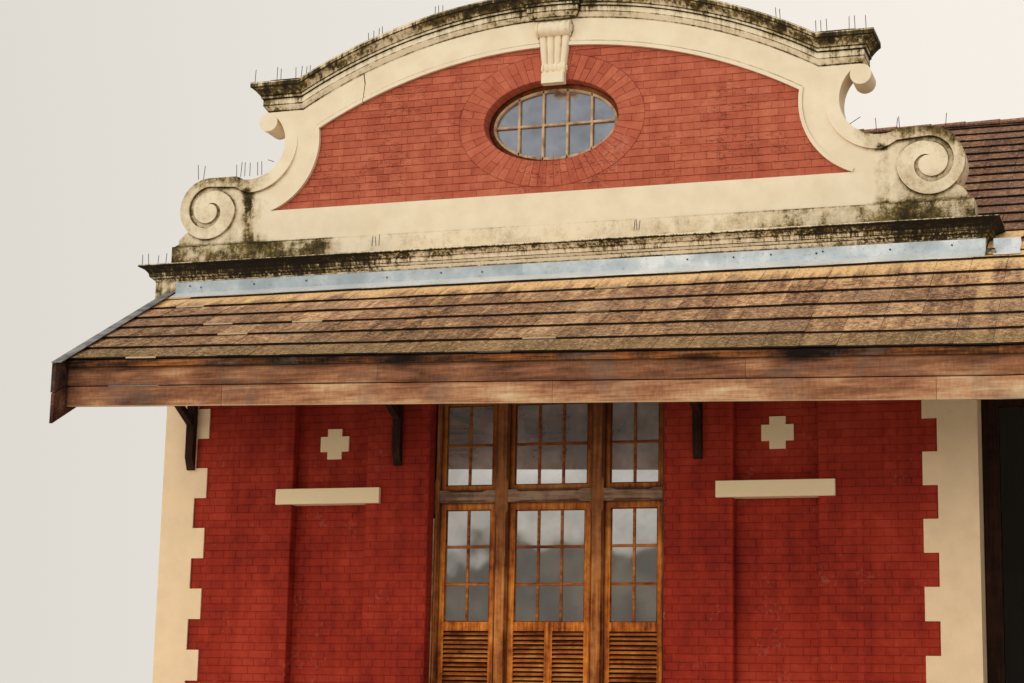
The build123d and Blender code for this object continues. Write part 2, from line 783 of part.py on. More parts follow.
def board(down):
    """Eave board whose bottom edge follows the eave's fall."""
    low = [(x, deck_top(x, fascia_y) - can_t - down) for x in (can_left, drop_end, can_right)]
    high = [(x, z + board_h) for x, z in low]
    return poly_xz(low + high[::-1], fascia_y, fascia_y + board_t)


save("fascia_upper", board(board_h) - deck)
save("fascia_lower", board(2 * board_h))


def verge_strip(x, x0, x1, low, high):
    """Strip down the canopy's verge, between two heights over its end, cut plumb at the front."""
    ends_z = [(y, deck_top(x, y) + barge_up) for y in (frieze_y, barge_front)]
    return poly_yz([(y, z + low) for y, z in ends_z] + [(y, z + high) for y, z in ends_z[::-1]], x0, x1)


save("barge_boards", verge_strip(can_left, can_left - barge_t, can_left, -barge_h, 0),
     verge_strip(can_right, can_right, can_right + barge_t, -barge_h, 0))
left_edge = can_left - barge_t - sheet_over
right_edge = can_right + barge_t + sheet_over
save("verge_cappings", verge_strip(can_left, left_edge, left_edge + sheet_w, 0, sheet_t),
     verge_strip(can_right, right_edge - sheet_w, right_edge, 0, sheet_t))


def flashing(x0, x1):
    """Folded strip, up the frieze and down over the tiles."""
    def section(x):
        y1 = frieze_y - flash_t
        y2 = frieze_y - flash_run
        wall_z = deck_top(x, frieze_y)
        lift = flash_t + flash_lift
        pts = [(frieze_y, wall_z), (frieze_y, wall_z + flash_up), (y1, wall_z + flash_up),
               (y1, deck_top(x, y1) + lift), (y2, deck_top(x, y2) + lift), (y2, deck_top(x, y2))]
        return Wire.make_polygon([Vector(x, y, z) for y, z in pts], close=True)
    return Solid.make_loft([section(x0), section(x1)], ruled=True)


save("flashing", flashing(can_left + flash_in, flash_joint), flashing(flash_joint, frieze_half))


# Brackets, with the beam on their arms
def beam_top(x):
    """The beam's front upper edge bears under the deck."""
    return deck_top(x, arm_reach) - can_t


beam_high = [(x, beam_top(x)) for x in (can_left, drop_end, can_right)]
beam_low = [(x, z - beam_h) for x, z in beam_high]
beam = poly_xz(beam_low + beam_high[::-1], arm_reach, arm_reach + beam_t)
save("canopy_beam", beam)


def bracket(x, y_wall):
    """Post on the wall with a tapered foot, level arm, and a strut between them."""
    x0 = x - bracket_w / 2
    x1 = x + bracket_w / 2
    py = y_wall - post_t
    arm_top = beam_top(x0) - beam_h
    arm_z = arm_top - arm_h
    post = poly_yz([(y_wall, post_foot), (y_wall, arm_top), (py, arm_top), (py, post_foot + foot_taper),
                    (y_wall - foot_t, post_foot)], x0, x1)
    arm = block(x0, x1, arm_reach, py, arm_z, arm_top)
    tip = py - strut_reach
    lean = [(py, strut_foot), (tip, arm_z), (tip + strut_top_part * strut_t, arm_z),
            (py, strut_foot + strut_foot_part * strut_t)]
    strut = poly_yz(lean, x0 + strut_in, x1 - strut_in)
    return (post + arm + strut) - beam


save("brackets", bracket(-(half_w - bracket_in), -quoin_proud), bracket(-bracket_mid, 0),
     bracket(bracket_mid, 0))
save("wing_brackets", bracket(wing_door_x1 + wing_bracket_in, wing_front),
     bracket(wing_end - wing_bracket_in, wing_front))
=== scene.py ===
"""Looks of a small railway station's end pavilion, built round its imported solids. Metres, Z up."""
from math import ceil, cos, floor, hypot, pi, radians, sin, sqrt, tan

import bpy
import numpy as np
from mathutils import Matrix, Vector


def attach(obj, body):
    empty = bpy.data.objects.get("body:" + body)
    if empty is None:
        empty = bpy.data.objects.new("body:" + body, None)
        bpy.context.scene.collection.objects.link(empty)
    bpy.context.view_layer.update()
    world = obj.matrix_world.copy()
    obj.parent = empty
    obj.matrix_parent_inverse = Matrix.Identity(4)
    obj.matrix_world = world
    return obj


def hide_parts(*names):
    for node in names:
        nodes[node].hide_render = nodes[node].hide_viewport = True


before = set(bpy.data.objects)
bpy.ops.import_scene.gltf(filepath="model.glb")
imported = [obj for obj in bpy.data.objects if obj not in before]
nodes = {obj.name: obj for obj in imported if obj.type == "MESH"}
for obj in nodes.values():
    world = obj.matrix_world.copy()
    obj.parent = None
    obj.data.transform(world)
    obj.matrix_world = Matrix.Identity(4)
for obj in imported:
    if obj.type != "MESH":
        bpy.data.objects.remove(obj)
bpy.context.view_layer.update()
rng = np.random.default_rng(11)

# Camera, solved from the photograph
eye = Vector((5.749, -18.095, 0.183))
cam_right = Vector((0.94867, 0.31560, 0.02074))
cam_up = Vector((0.04044, -0.18606, 0.98171))
lens = 70.95

# Walls and openings
half_w = 4.002
wall_t = 0.4
build_back = 7.85
wing_front = 0.35
wing_end = 8.4
frieze_z = 3.9
wing_door_x1 = 5.5
wing_door_h = 3.3
quoin_w = 0.345
quoin_depth = 0.355
panel_in = 1.815
panel_out = 2.604
panel_depth = 0.12
door_half = 1.167
door_h = 3.4
floor_t = 0.06
ridge_z = 6.9306
ridge_y = 4.1
slope = tan(radians(30))
drop_t = 0.12 / cos(radians(30))
under_ridge = ridge_z - drop_t

# Bricks: English bond, four courses to 0.30 m
course = 0.075
stretcher = 0.25
joint = 0.007
head_joint = 0.004
proud = 0.003
bevel = 0.0025
brick_slip = 0.0018
least_brick = 0.02
least_course = 0.015

# Gable
cornice_z = 4.600
cornice_top = 4.764
gable_base = 5.32
arch_cz = 1.830
bed_r = 5.244
arch_r = 4.972
top_r = 5.4965
mitre_x = 2.640
block_z = (6.361, 6.651)
curve_x = 3.208
curve_z = 6.036
curve_r = 0.762
scroll_x = 3.215
plinth_step = 4.866
scroll_top = 5.700
block_top = 6.680
field_half = 3.3
field_top = 6.82
oval_z = 6.058
oval_a = 0.692
oval_b = 0.416
oval_y = 0.15
ring_w = 0.262
ring_n = 58
ring_bed = -0.0038
ring_gap = 0.002

# Canopy
frieze_y = -0.17
frieze_half = 4.145
can_left = -3.98
can_right = 8.36
can_wall_z = 4.47
can_eave_y = -2.075
can_t = 0.085
drop_end = 4.4
eave_drop = 0.2
eave_z = 3.466
fascia_y = -2.03
board_h = 0.192
barge_t = 0.04
barge_y = -2.24
barge_rise = 0.014

# Tiles
gauge = 0.26
canopy_gauge = 0.295
tile_w = 0.307
tile_t = 0.014
tile_lap = 0.04
lip = 0.027
under = lip + 0.002
lift = lip + 0.004
roof_front = 0.28
roof_back = 8.0
roof_eave = 4.25
roof_end_x = 8.46
roof_end_y = 8.15

# Joinery
frame_y = 0.15
frame_back = 0.25
stop_back = 0.199
rebate = 0.012
chamfer = 0.02
jamb_w = 0.055
mullion_in = 0.412
mullion_out = 0.540
transom_z = 2.33
transom_top = 2.45
head_z = 3.33
leaf_y = 0.205
stile = 0.07
muntin = 0.078
mid_rail_z = 1.11
mid_rail_top = 1.195
bar_w = 0.028
bead_w = 0.011
glass_y0 = 0.212
glass_y1 = 0.243


def jitter(reach):
    return float(rng.uniform(-1, 1)) * reach


def any_tone():
    return float(rng.random())


def mid_tone():
    return float(rng.beta(2, 2))


def belt(m, low, high):
    """Faces between two rings of m points, which start at point low and at point high."""
    return [(low + i, low + (i + 1) % m, high + (i + 1) % m, high + i) for i in range(m)]


class Shell:
    """Faces of one piece, with a tone for each."""

    def __init__(self):
        self.verts = []
        self.faces = []
        self.tones = []

    def add(self, pts, faces, tone=0.5):
        n = len(self.verts)
        self.verts.extend(tuple(p) for p in pts)
        self.faces.extend(tuple(i + n for i in f) for f in faces)
        self.tones.extend([tone] * len(faces))

    def prism(self, low, high, tone=0.5, bottom=True):
        """Closed form between two rings of points that run anticlockwise seen from above."""
        n = len(low)
        faces = belt(n, 0, n) + [tuple(range(n, 2 * n))]
        if bottom:
            faces.append(tuple(range(n - 1, -1, -1)))
        self.add(list(low) + list(high), faces, tone)

    def box(self, x0, x1, y0, y1, z0, z1, tone=0.5, cut=0.0):
        """Box whose upright and level edges on the front are chamfered by cut."""
        if cut == 0.0:
            low = [(x0, y0, z0), (x1, y0, z0), (x1, y1, z0), (x0, y1, z0)]
            self.prism(low, [(x, y, z1) for x, y, z in low], tone)
            return
        back = [(x0, y1, z0), (x1, y1, z0), (x1, y1, z1), (x0, y1, z1)]
        mid = [(x, y0 + cut, z) for x, y, z in back]
        xa, xb, za, zb = x0 + cut, x1 - cut, z0 + cut, z1 - cut
        front = [(xa, y0, za), (xb, y0, za), (xb, y0, zb), (xa, y0, zb)]
        self.add(back + mid + front, [(3, 2, 1, 0), (8, 9, 10, 11)] + belt(4, 0, 4) + belt(4, 4, 8), tone)

    def build(self, name, mat, slot, body="root", stands_for=()):
        mesh = bpy.data.meshes.new(name)
        mesh.from_pydata(self.verts, [], self.faces)
        mesh.attributes.new("tone", "FLOAT", "FACE").data.foreach_set("value", self.tones)
        mesh.polygons.foreach_set("use_smooth", [False] * len(mesh.polygons))
        mesh.materials.append(mat)
        mesh.validate()
        obj = bpy.data.objects.new(name, mesh)
        bpy.context.collection.objects.link(obj)
        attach(obj, body)
        if stands_for:
            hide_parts(*stands_for)


# Shading: colours written as they look, and short words for shader nodes
def lin(colour):
    """Linear colour, from three numbers written as it looks, 0 to 255, or from four linear ones."""
    if len(colour) == 4:
        return colour
    parts = [(c / 255 / 12.92) if c <= 10 else ((c / 255 + 0.055) / 1.055) ** 2.4 for c in colour]
    return tuple(parts) + (1.0,)


class Graph:
    """Node tree of one material, or of the world."""

    def __init__(self, name, world=False):
        self.home = (bpy.data.worlds if world else bpy.data.materials).new(name)
        self.home.use_nodes = True
        self.tree = self.home.node_tree
        self.tree.nodes.clear()
        self.out = self.tree.nodes.new("ShaderNodeOutput" + ("World" if world else "Material"))
        self.place = self.node("TexCoord", out="Generated" if world else "Object")

    def node(self, kind, inputs=None, out=0, **props):
        """Makes a node, fills its inputs and gives the output that is asked for."""
        made = self.tree.nodes.new("ShaderNode" + kind)
        for key, val in props.items():
            setattr(made, key, val)
        for key, val in (inputs or {}).items():
            self.put(made.inputs[key], val)
        return made.outputs[out]

    def put(self, socket, val):
        if isinstance(val, bpy.types.NodeSocket):
            self.tree.links.new(val, socket)
        else:
            socket.default_value = lin(val) if isinstance(val, tuple) else val

    def surface(self, shader):
        self.put(self.out.inputs[0], shader)
        return self.home

    def math(self, op, a, b=0.0):
        return self.node("Math", {0: a, 1: b}, operation=op)

    def add(self, a, b):
        return self.math("ADD", a, b)

    def sub(self, a, b):
        return self.math("SUBTRACT", a, b)

    def mul(self, a, b):
        return self.math("MULTIPLY", a, b)

    def abs(self, a):
        return self.math("ABSOLUTE", a)

    def remap(self, v, a, b, c=0.0, d=1.0):
        return self.node("MapRange", {0: v, 1: a, 2: b, 3: c, 4: d}, clamp=True)

    def blend(self, fac, a, b):
        """Mix of two shaders."""
        return self.node("MixShader", {0: fac, 1: a, 2: b})

    def noise(self, scale, detail=3.0, rough=0.6):
        """Noise of one scale, or of a scale along each axis."""
        where = self.place
        if isinstance(scale, tuple):
            where = self.node("VectorMath", {0: where, 1: Vector(scale)}, operation="MULTIPLY")
            scale = 1.0
        return self.node("TexNoise", {"Vector": where, "Scale": scale, "Detail": detail, "Roughness": rough})

    def ramp(self, fac, stops):
        n = self.tree.nodes.new("ShaderNodeValToRGB")
        els = n.color_ramp.elements
        while len(els) < len(stops):
            els.new(0.5)
        for el, (pos, val) in zip(els, stops):
            el.position = pos
            el.color = lin(val) if isinstance(val, tuple) else (val, val, val, 1.0)
        self.put(n.inputs[0], fac)
        return n.outputs[0]

    def mix(self, fac, a, b):
        return self.node("Mix", {0: fac, 6: a, 7: b}, 2, data_type="RGBA")

    def axis(self, i, vec=None):
        return self.node("SeparateXYZ", {0: vec or self.place}, i)

    def up(self):
        """How far a face looks up, -1 to 1."""
        return self.axis(2, self.node("TexCoord", out="Normal"))

    def crease_shade(self, reach):
        """Painted shade: 1 in inner corners and creases, 0 in the open, from ambient occlusion."""
        return self.remap(self.node("AmbientOcclusion", {"Distance": reach}, "AO", samples=6), 0.94, 0.55)

    def bias(self, fac, stops):
        """Ramp between amounts that may be below 0."""
        return self.sub(self.ramp(fac, [(pos, val + 1.0) for pos, val in stops]), 1.0)

    def plus(self, *terms):
        """Sum of (noise, weight) pairs, each noise counted from its mean."""
        parts = [self.mul(self.sub(noise, 0.5), weight) for noise, weight in terms]
        total = parts[0]
        for part in parts[1:]:
            total = self.add(total, part)
        return total

    def tone(self):
        return self.node("Attribute", out="Fac", attribute_name="tone")

    def shade(self, tone_part, *terms):
        """Place on a colour ramp: its middle, with noises and the tone of each face added."""
        total = self.add(self.plus(*terms), 0.5)
        return self.add(total, self.plus((self.tone(), tone_part))) if tone_part else total

    def finish(self, colour, rough, height=None, distance=0.002, metallic=0.0, specular=0.25):
        inputs = {"Base Color": colour, "Roughness": rough, "Metallic": metallic,
                  "Specular IOR Level": specular}
        if height is not None:
            inputs["Normal"] = self.node("Bump", {"Strength": 0.6, "Distance": distance, "Height": height})
        return self.surface(self.node("BsdfPrincipled", inputs))


# One function for each kind of material
def paint(name, base, dark, pale, worn=0.25, tone_part=0.3, patchy=1.0, cracks=0.0, joints=False):
    """Painted brick, each one a little off the next, with drips, specks and worn places; or its joints."""
    g = Graph(name)
    speck = g.noise(70.0, 2.0)
    shade = g.shade(0.0 if joints else tone_part, (g.noise(0.9, 4.0), patchy), (g.noise(6.0, 4.0, 0.7), 0.6),
                    (g.noise((9.0, 9.0, 0.7)), 0.5 * patchy))
    col = g.ramp(shade, [(0.28, dark), (0.5, base), (0.72, pale)])
    chips = g.remap(g.mul(g.noise(26.0, 5.0), g.noise(2.2, 2.0)), 0.36, 0.40)
    col = g.mix(g.mul(chips, worn), col, (200, 150, 130))
    col = g.mix(g.remap(speck, 0.60, 0.72, 0.0, 0.30), col, dark)
    if cracks:
        wave = g.abs(g.sub(g.noise((3.0, 3.0, 15.0), 4.0, 0.65), 0.5))
        line = g.mul(g.remap(wave, 0.004, 0.011, 1.0, 0.0), g.remap(g.noise(1.5, 3.0), 0.50, 0.56))
        col = g.mix(g.mul(line, cracks), col, (88, 34, 24))
    if joints:
        # The wall's inside is pale
        x = g.axis(0)
        y = g.axis(1)
        skin = wall_t - 0.008
        deep = g.math("GREATER_THAN", y, skin)
        for op, at, edge in (("LESS_THAN", y, build_back - skin), ("GREATER_THAN", x, -half_w + skin),
                             ("LESS_THAN", x, wing_end - skin)):
            deep = g.mul(deep, g.math(op, at, edge))
        col = g.mix(deep, col, (205, 196, 178))
    return g.finish(col, g.remap(speck, 0.2, 0.8, 0.6, 0.85), g.noise(120.0), 0.0015, specular=0.2)


def shade_lined(stops, shade_lines, w):
    """Stops with a thin painted shadow line, in the mould colours, at each step of a moulding, given as
    (place, amount); a negative amount gives a pale painted highlight line.
    """
    def level(x):
        return float(np.interp(x, *zip(*stops)))

    out = list(stops)
    for c, deep in shade_lines:
        out = [q for q in out if abs(q[0] - c) > w]
        out += [(c - w, level(c - w)), (c, level(c) + deep), (c + w, level(c + w))]
    return sorted(out)


def mould(name, base, span, bias, radial=False, block=None, side=None, scroll_side=None, streak=False,
          grime=1.0, runs=1.0, run_w=22.0, lines=0.0, corner=0.6, reach=0.05, crack=None, age=0.3, black=0.8):
    """Painted render with mould. bias gives its amount over span, in Z or out from the arch's centre.

    side gives more of it over X, and scroll_side out from the middle over the scrolls.
    """
    g = Graph(name)
    x = g.axis(0)
    z = g.axis(2)
    far = g.abs(x)
    at = z
    if radial:
        dz = g.sub(z, arch_cz)
        at = g.math("SQRT", g.add(g.mul(x, x), g.mul(dz, dz)))
    part = g.remap(at, *span)
    if block:
        past = g.math("GREATER_THAN", far, mitre_x)
        part = g.add(g.mul(g.remap(z, *block), past), g.mul(part, g.sub(1.0, past)))
    blot = g.noise(7.0, 5.0, 0.7)
    m = g.add(g.bias(part, bias),
              g.plus((g.noise(1.2, 5.0), 1.6 * grime), (blot, 1.3 * grime),
                     (g.noise((run_w, run_w, 1.6), 4.0, 0.7), 1.5 * grime * runs),
                     (g.noise(60.0, 4.0, 0.8), 0.6 * grime)))
    if lines:
        m = g.add(m, g.plus((g.noise((2.5, 2.5, 70.0), 4.0), lines)))
    if side:
        m = g.add(m, g.bias(g.remap(x, -4.3, 4.3), side))
    if scroll_side:
        m = g.add(m, g.bias(g.remap(far, 2.4, 4.1), scroll_side))
    m = g.add(m, g.mul(g.math("MAXIMUM", g.up(), 0.0), 0.15))
    if streak:
        off = g.abs(g.sub(far, scroll_x))
        line = g.mul(g.remap(off, 0.02, 0.09, 1.0, 0.0), g.remap(z, 5.54, 5.58, 1.0, 0.0))
        m = g.add(m, g.mul(line, g.remap(blot, 0.3, 0.65, 0.22, 0.50)))
    if crack is not None:
        off = g.abs(g.sub(g.add(x, g.plus((g.noise(6.0, 4.0), 0.06))), crack))
        m = g.add(m, g.remap(off, 0.003, 0.008, 1.3, 0.0))
    # Painted shade: more of the dark mould colours in inner corners and creases
    m = g.add(m, g.mul(g.crease_shade(reach), corner))
    crust = g.remap(m, 0.34, 0.58)
    film = g.remap(m, 0.02, 0.5)
    pale = g.mix(g.remap(g.noise(4.0, 4.0), 0.35, 0.7, 0.0, age), base, (206, 182, 140))
    thick = g.add(m, g.plus((g.noise(9.0, 5.0, 0.7), 1.2)))
    moss = g.ramp(g.mul(thick, black), [(0.22, (158, 134, 80)), (0.42, (108, 90, 48)), (0.62, (62, 51, 29)),
                                        (0.92, (32, 26, 17))])
    col = g.mix(crust, g.mix(g.mul(film, 0.65), pale, (158, 134, 82)), moss)
    return g.finish(col, 0.85, g.add(g.noise(60.0, 4.0), g.mul(crust, 0.5)), 0.003)


def timber(name, stops, grain, gloss=0.5, height_tint=None):
    """Boards and joinery. stops colour the grain, grain is its scale along X, Y and Z."""
    g = Graph(name)
    line = g.noise(grain, 6.0, 0.65)
    col = g.ramp(g.shade(0.12, (line, 0.8), (g.noise(1.4, 4.0), 0.9), (g.noise(9.0, 4.0, 0.7), 0.5)), stops)
    if height_tint:
        z0, z1, amount, grey = height_tint
        # Colour grows darker or greyer towards the top, by the given heights and amounts
        col = g.mix(g.ramp(g.remap(g.axis(2), z0, z1), amount), col, grey)
    # Painted shade: dark brown in inner corners and creases
    col = g.mix(g.mul(g.crease_shade(0.03), 0.75), col, (34, 15, 7))
    return g.finish(col, gloss, g.add(line, g.mul(g.noise(90.0), 0.3)), 0.0015, specular=0.14)


def board(name, stops):
    """Worn outdoor boards: long stains, short blots and scratches."""
    g = Graph(name)
    grain = g.noise((2.0, 40.0, 40.0), 5.0, 0.7)
    rub = g.noise((40.0, 30.0, 14.0), 4.0, 0.7)
    shade = g.shade(0.12, (grain, 0.5), (g.noise((1.3, 5.0, 5.0), 4.0), 0.8), (rub, 0.2), (g.noise(0.7), 0.4))
    col = g.mix(g.remap(g.noise(2.3, 4.0), 0.52, 0.62, 0.0, 0.35), g.ramp(shade, stops), (112, 98, 86))
    # Painted shade: dark brown in inner corners and creases
    col = g.mix(g.mul(g.crease_shade(0.03), 0.8), col, (36, 22, 14))
    return g.finish(col, 0.8, g.add(grain, rub), 0.002, specular=0.15)


def tiling(name, streaks, stops, rows=None):
    """Clay tiles. streaks is a scale along each axis; rows, if given, colours tiles by their place in Y."""
    g = Graph(name)
    x = g.axis(0)
    y = g.axis(1)
    streak = g.noise(streaks, 5.0, 0.65)
    speck = g.noise(34.0, 5.0, 0.8)
    shade = g.shade(0.22, (streak, 0.7), (g.noise(0.8, 4.0), 0.7), (g.noise(16.0, 5.0, 0.75), 1.1))
    col = g.mix(g.remap(g.noise(1.6, 5.0, 0.7), 0.44, 0.58, 0.0, 0.60), g.ramp(shade, stops), (112, 80, 64))
    if rows:
        y0, y1, fresh_rows, moss_rows = rows
        part = g.remap(y, y0, y1)
        fresh = g.bias(g.add(part, g.remap(streak, 0.3, 0.7, -0.08, 0.08)), fresh_rows)
        # A pale run down the canopy at the pavilion's corner
        run = g.mul(g.remap(x, 4.13, 4.17), g.remap(x, 4.22, 4.26, 1.0, 0.0))
        fresh = g.math("MAXIMUM", fresh, g.mul(run, g.remap(y, -1.6, -0.3, 0.2, 0.9)))
        col = g.mix(fresh, col, (255, 206, 142))
        col = g.mix(g.ramp(part, moss_rows), col, (116, 98, 52))
    col = g.mix(g.remap(speck, 0.52, 0.64, 0.0, 0.75), col, (58, 42, 30))
    col = g.mix(g.remap(speck, 0.36, 0.46, 0.60, 0.0), col, (236, 204, 158))
    # Painted shade: faces that do not look up, the tile lip faces, are coloured near black; a few worn lip
    # faces on the left are pale instead
    lip_shade = g.remap(g.up(), 0.35, 0.7, 1.0, 0.0)
    worn = g.mul(g.remap(g.tone(), 0.83, 0.86), g.remap(x, 0.5, 1.5, 1.0, 0.0))
    return g.finish(g.mix(lip_shade, col, g.mix(worn, (34, 23, 15), (190, 170, 138))), 0.9, speck, 0.003)


def plain(name, stops, scale, rough, metallic=0.0):
    g = Graph(name)
    n = g.noise(scale, 4.0)
    rough_span = g.remap(n, 0.3, 0.7, rough, rough + 0.15)
    return g.finish(g.ramp(n, stops), rough_span, g.noise(scale * 9), 0.001, metallic)


def sheet(name):
    """Zinc, with painted light: its upright faces painted a little blue and darker, its sloping faces, which
    look up to the sky, painted pale.
    """
    g = Graph(name)
    n = g.noise(3.0, 5.0)
    wall = g.ramp(n, [(0.38, (180, 192, 196)), (0.52, (206, 216, 218)), (0.64, (236, 240, 238))])
    lit_sloping_colour = g.ramp(n, [(0.35, (216, 218, 214)), (0.7, (246, 244, 238))])
    older = g.remap(g.axis(0), -0.200, -0.198, 0.30, 0.0)
    # Painted light: faces that look up take the pale lit colour, upright faces the darker blue one
    col = g.mix(g.remap(g.up(), 0.2, 0.6), g.mix(older, wall, (122, 136, 142)), lit_sloping_colour)
    col = g.mix(g.remap(g.noise(30.0, 4.0, 0.7), 0.58, 0.72, 0.0, 0.5), col, (110, 108, 98))
    return g.finish(col, 0.42, g.noise(6.0), 0.004, 0.15, 0.5)


def glass(name, room, low, high, rough):
    """Window glass with a dim room behind it, painted on an opaque body as painted shade."""
    g = Graph(name)
    body = g.node("BsdfPrincipled", {"Base Color": g.ramp(g.noise(1.7, 4.0), room), "Roughness": 0.35})
    gloss = g.node("BsdfGlossy", {"Color": (1.0, 0.98, 0.94, 1.0), "Roughness": rough})
    return g.surface(g.blend(g.remap(g.noise(2.2), 0.38, 0.62, low, high), body, gloss))


def dress(names, mat):
    """Puts a material on the solids of the named nodes."""
    for name in names.split():
        nodes[name].data.materials.clear()
        nodes[name].data.materials.append(mat)
    return mat


# Walls
m_wall = paint("painted_brick", (158, 45, 26), (132, 33, 20), (178, 60, 38), worn=0.12, tone_part=0.12)
m_gable = paint("gable_brick", (186, 96, 70), (160, 74, 54), (206, 118, 88), tone_part=0.2, patchy=0.5,
                cracks=0.8)
m_plain = paint("outer_brick", (150, 42, 26), (116, 30, 19), (172, 62, 40), worn=0.35)
dress("front_wall_left front_wall_right front_wall_over_door",
      paint("painted_joints", (136, 35, 21), (92, 20, 11), (150, 42, 26), joints=True))
m_gable_joint = dress("gable_wall",
                      paint("gable_joints", (132, 58, 42), (80, 30, 21), (166, 82, 60), joints=True))
dress("side_wall_left back_wall wing_back_wall wing_front_wall wing_wall_over_door end_wall",
      paint("outer_joints", (104, 34, 24), (84, 26, 18), (124, 46, 34), joints=True))

# Render, with its mould
cream = (244, 227, 196)
# Main cornice: painted shadow lines under its mouldings, and pale painted highlight lines where the amount is
# below 0
dress("main_cornice", mould(
    "cornice_render", cream, (cornice_z, cornice_top),
    shade_lined([(0.0, -0.24), (0.30, -0.20), (0.45, 0.04), (0.90, 0.30), (1.0, 0.0)],
            [(0.18, 1.0), (0.33, 1.3), (0.48, -0.3), (0.60, 0.6), (0.865, 0.9), (0.97, -0.9)], 0.03),
    side=[(0.0, 1.0), (0.27, 0.90), (0.35, 0.14), (0.70, 0.06), (0.82, 0.60), (1.0, 0.90)],
    runs=1.5, run_w=40.0, lines=0.25, corner=0.5, reach=0.025, black=0.82))
m_frieze = dress("frieze", mould("frieze_render", cream, (frieze_z, cornice_z), [(0.0, 0.0), (1.0, 0.35)],
                                 side=[(0.0, 0.45), (0.03, 0.40), (0.06, 0.0), (1.0, 0.0)]))
dress("gable_plinth", mould(
    "plinth_render", cream, (cornice_top, gable_base),
    [(0.0, 0.25), (0.15, 0.10), (0.385, 0.0), (0.41, 0.20), (0.43, -0.8), (1.0, -1.1)],
    side=[(0.0, 0.80), (0.06, 0.62), (0.13, 0.42), (0.22, 0.52), (0.28, -0.02), (0.66, -0.05), (0.77, 0.34),
          (0.88, 0.50), (1.0, 0.45)], runs=0.25))
dress("gable_scroll_left gable_scroll_right", mould(
    "scroll_render", cream, (4.995, block_z[0]),
    [(0.0, 0.10), (0.08, -0.10), (0.36, -0.08), (0.44, 0.18), (0.52, 0.34), (0.62, -0.30), (1.0, -0.40)],
    scroll_side=[(0.0, -0.60), (0.30, -0.45), (0.40, 0.10), (0.50, 0.20), (0.75, 0.30), (0.88, 0.42),
                 (1.0, 0.56)], streak=True, runs=0.35, grime=0.85, corner=0.4, reach=0.04))
dress("gable_arch field_edge", mould("arch_render", cream, (arch_r, bed_r), [(0.0, -0.50), (1.0, -0.45)],
                                     radial=True, corner=1.6, reach=0.02, crack=-1.98))
# Arch cornice: painted shadow lines under its mouldings, and a pale painted highlight line where the amount
# is below 0
dress("arch_cornice", mould(
    "arch_cornice_render", cream, (bed_r, top_r),
    shade_lined([(0.0, 0.0), (0.40, 0.08), (0.55, 0.30), (0.70, 0.50), (1.0, 0.52)],
            [(0.03, 0.6), (0.225, 0.7), (0.45, 1.1), (0.56, 0.7), (0.82, 0.5), (0.97, -0.5)], 0.026),
    radial=True, block=block_z,
    side=[(0.0, 0.30), (0.19, 0.30), (0.22, -0.12), (0.34, -0.10), (0.37, 0.35), (0.49, 0.28), (0.54, 0.0),
          (0.78, 0.05), (0.81, 0.25), (1.0, 0.25)], corner=0.9, reach=0.03))
dress("quoins",
      mould("clean_render", (252, 219, 176), (0.0, 4.0), [(0.0, -0.35), (0.05, -0.45), (1.0, -0.45)]))
dress("panel_bars panel_crosses", mould("bar_render", (255, 228, 182), (0.0, 4.0), [(0.0, -1.0), (1.0, -1.0)],
                                        grime=0.3, age=0.05))
m_key = dress("keystone", mould("keystone_render", cream, (6.4, 7.05), [(0.0, -0.40), (1.0, -0.25)],
                                corner=0.3, reach=0.02))

# Tiled roofs
dark_clay = [(0.22, (78, 50, 36)), (0.42, (130, 86, 62)), (0.60, (168, 118, 88)), (0.78, (202, 154, 120))]
down_y = (11.0, 1.2, 1.2)
m_canopy_tile = tiling(
    "canopy_tiles", down_y,
    [(0.24, (84, 56, 38)), (0.40, (150, 106, 72)), (0.54, (196, 146, 104)), (0.68, (234, 188, 140))],
    (-2.1, 0.35, [(0.0, 0.0), (0.56, 0.0), (0.62, 0.30), (0.68, 0.80), (0.74, 1.0), (1.0, 0.85)],
     [(0.0, 0.60), (0.09, 0.55), (0.14, 0.20), (0.5, 0.0)]))
m_tile_x = dress("pavilion_roof_left pavilion_roof_right wing_ridge",
                 tiling("side_tiles", (1.2, 11.0, 1.2), dark_clay))
m_tile_y = dress("pavilion_ridge wing_roof_front wing_roof_back", tiling("wing_tiles", down_y, dark_clay))

# Timber
upright = (34.0, 34.0, 1.6)
level = (1.6, 34.0, 34.0)
# Timber darker and greyer towards the top of the door
darker_up = (floor_t, door_h, [(0.0, 0.0), (0.45, 0.10), (0.70, 0.45), (1.0, 0.75)], (92, 46, 22))
greyer_up = (floor_t, door_h,
             [(0.0, 0.0), (0.40, 0.10), (0.62, 0.55), (0.76, 0.60), (0.86, 0.50), (1.0, 0.70)], (104, 66, 42))
dress("upper_lights door_leaf side_leaves", timber(
    "varnished_door", [(0.24, (118, 50, 14)), (0.42, (206, 112, 34)), (0.56, (244, 152, 58)),
                       (0.74, (255, 188, 104))], upright, 0.42, darker_up))
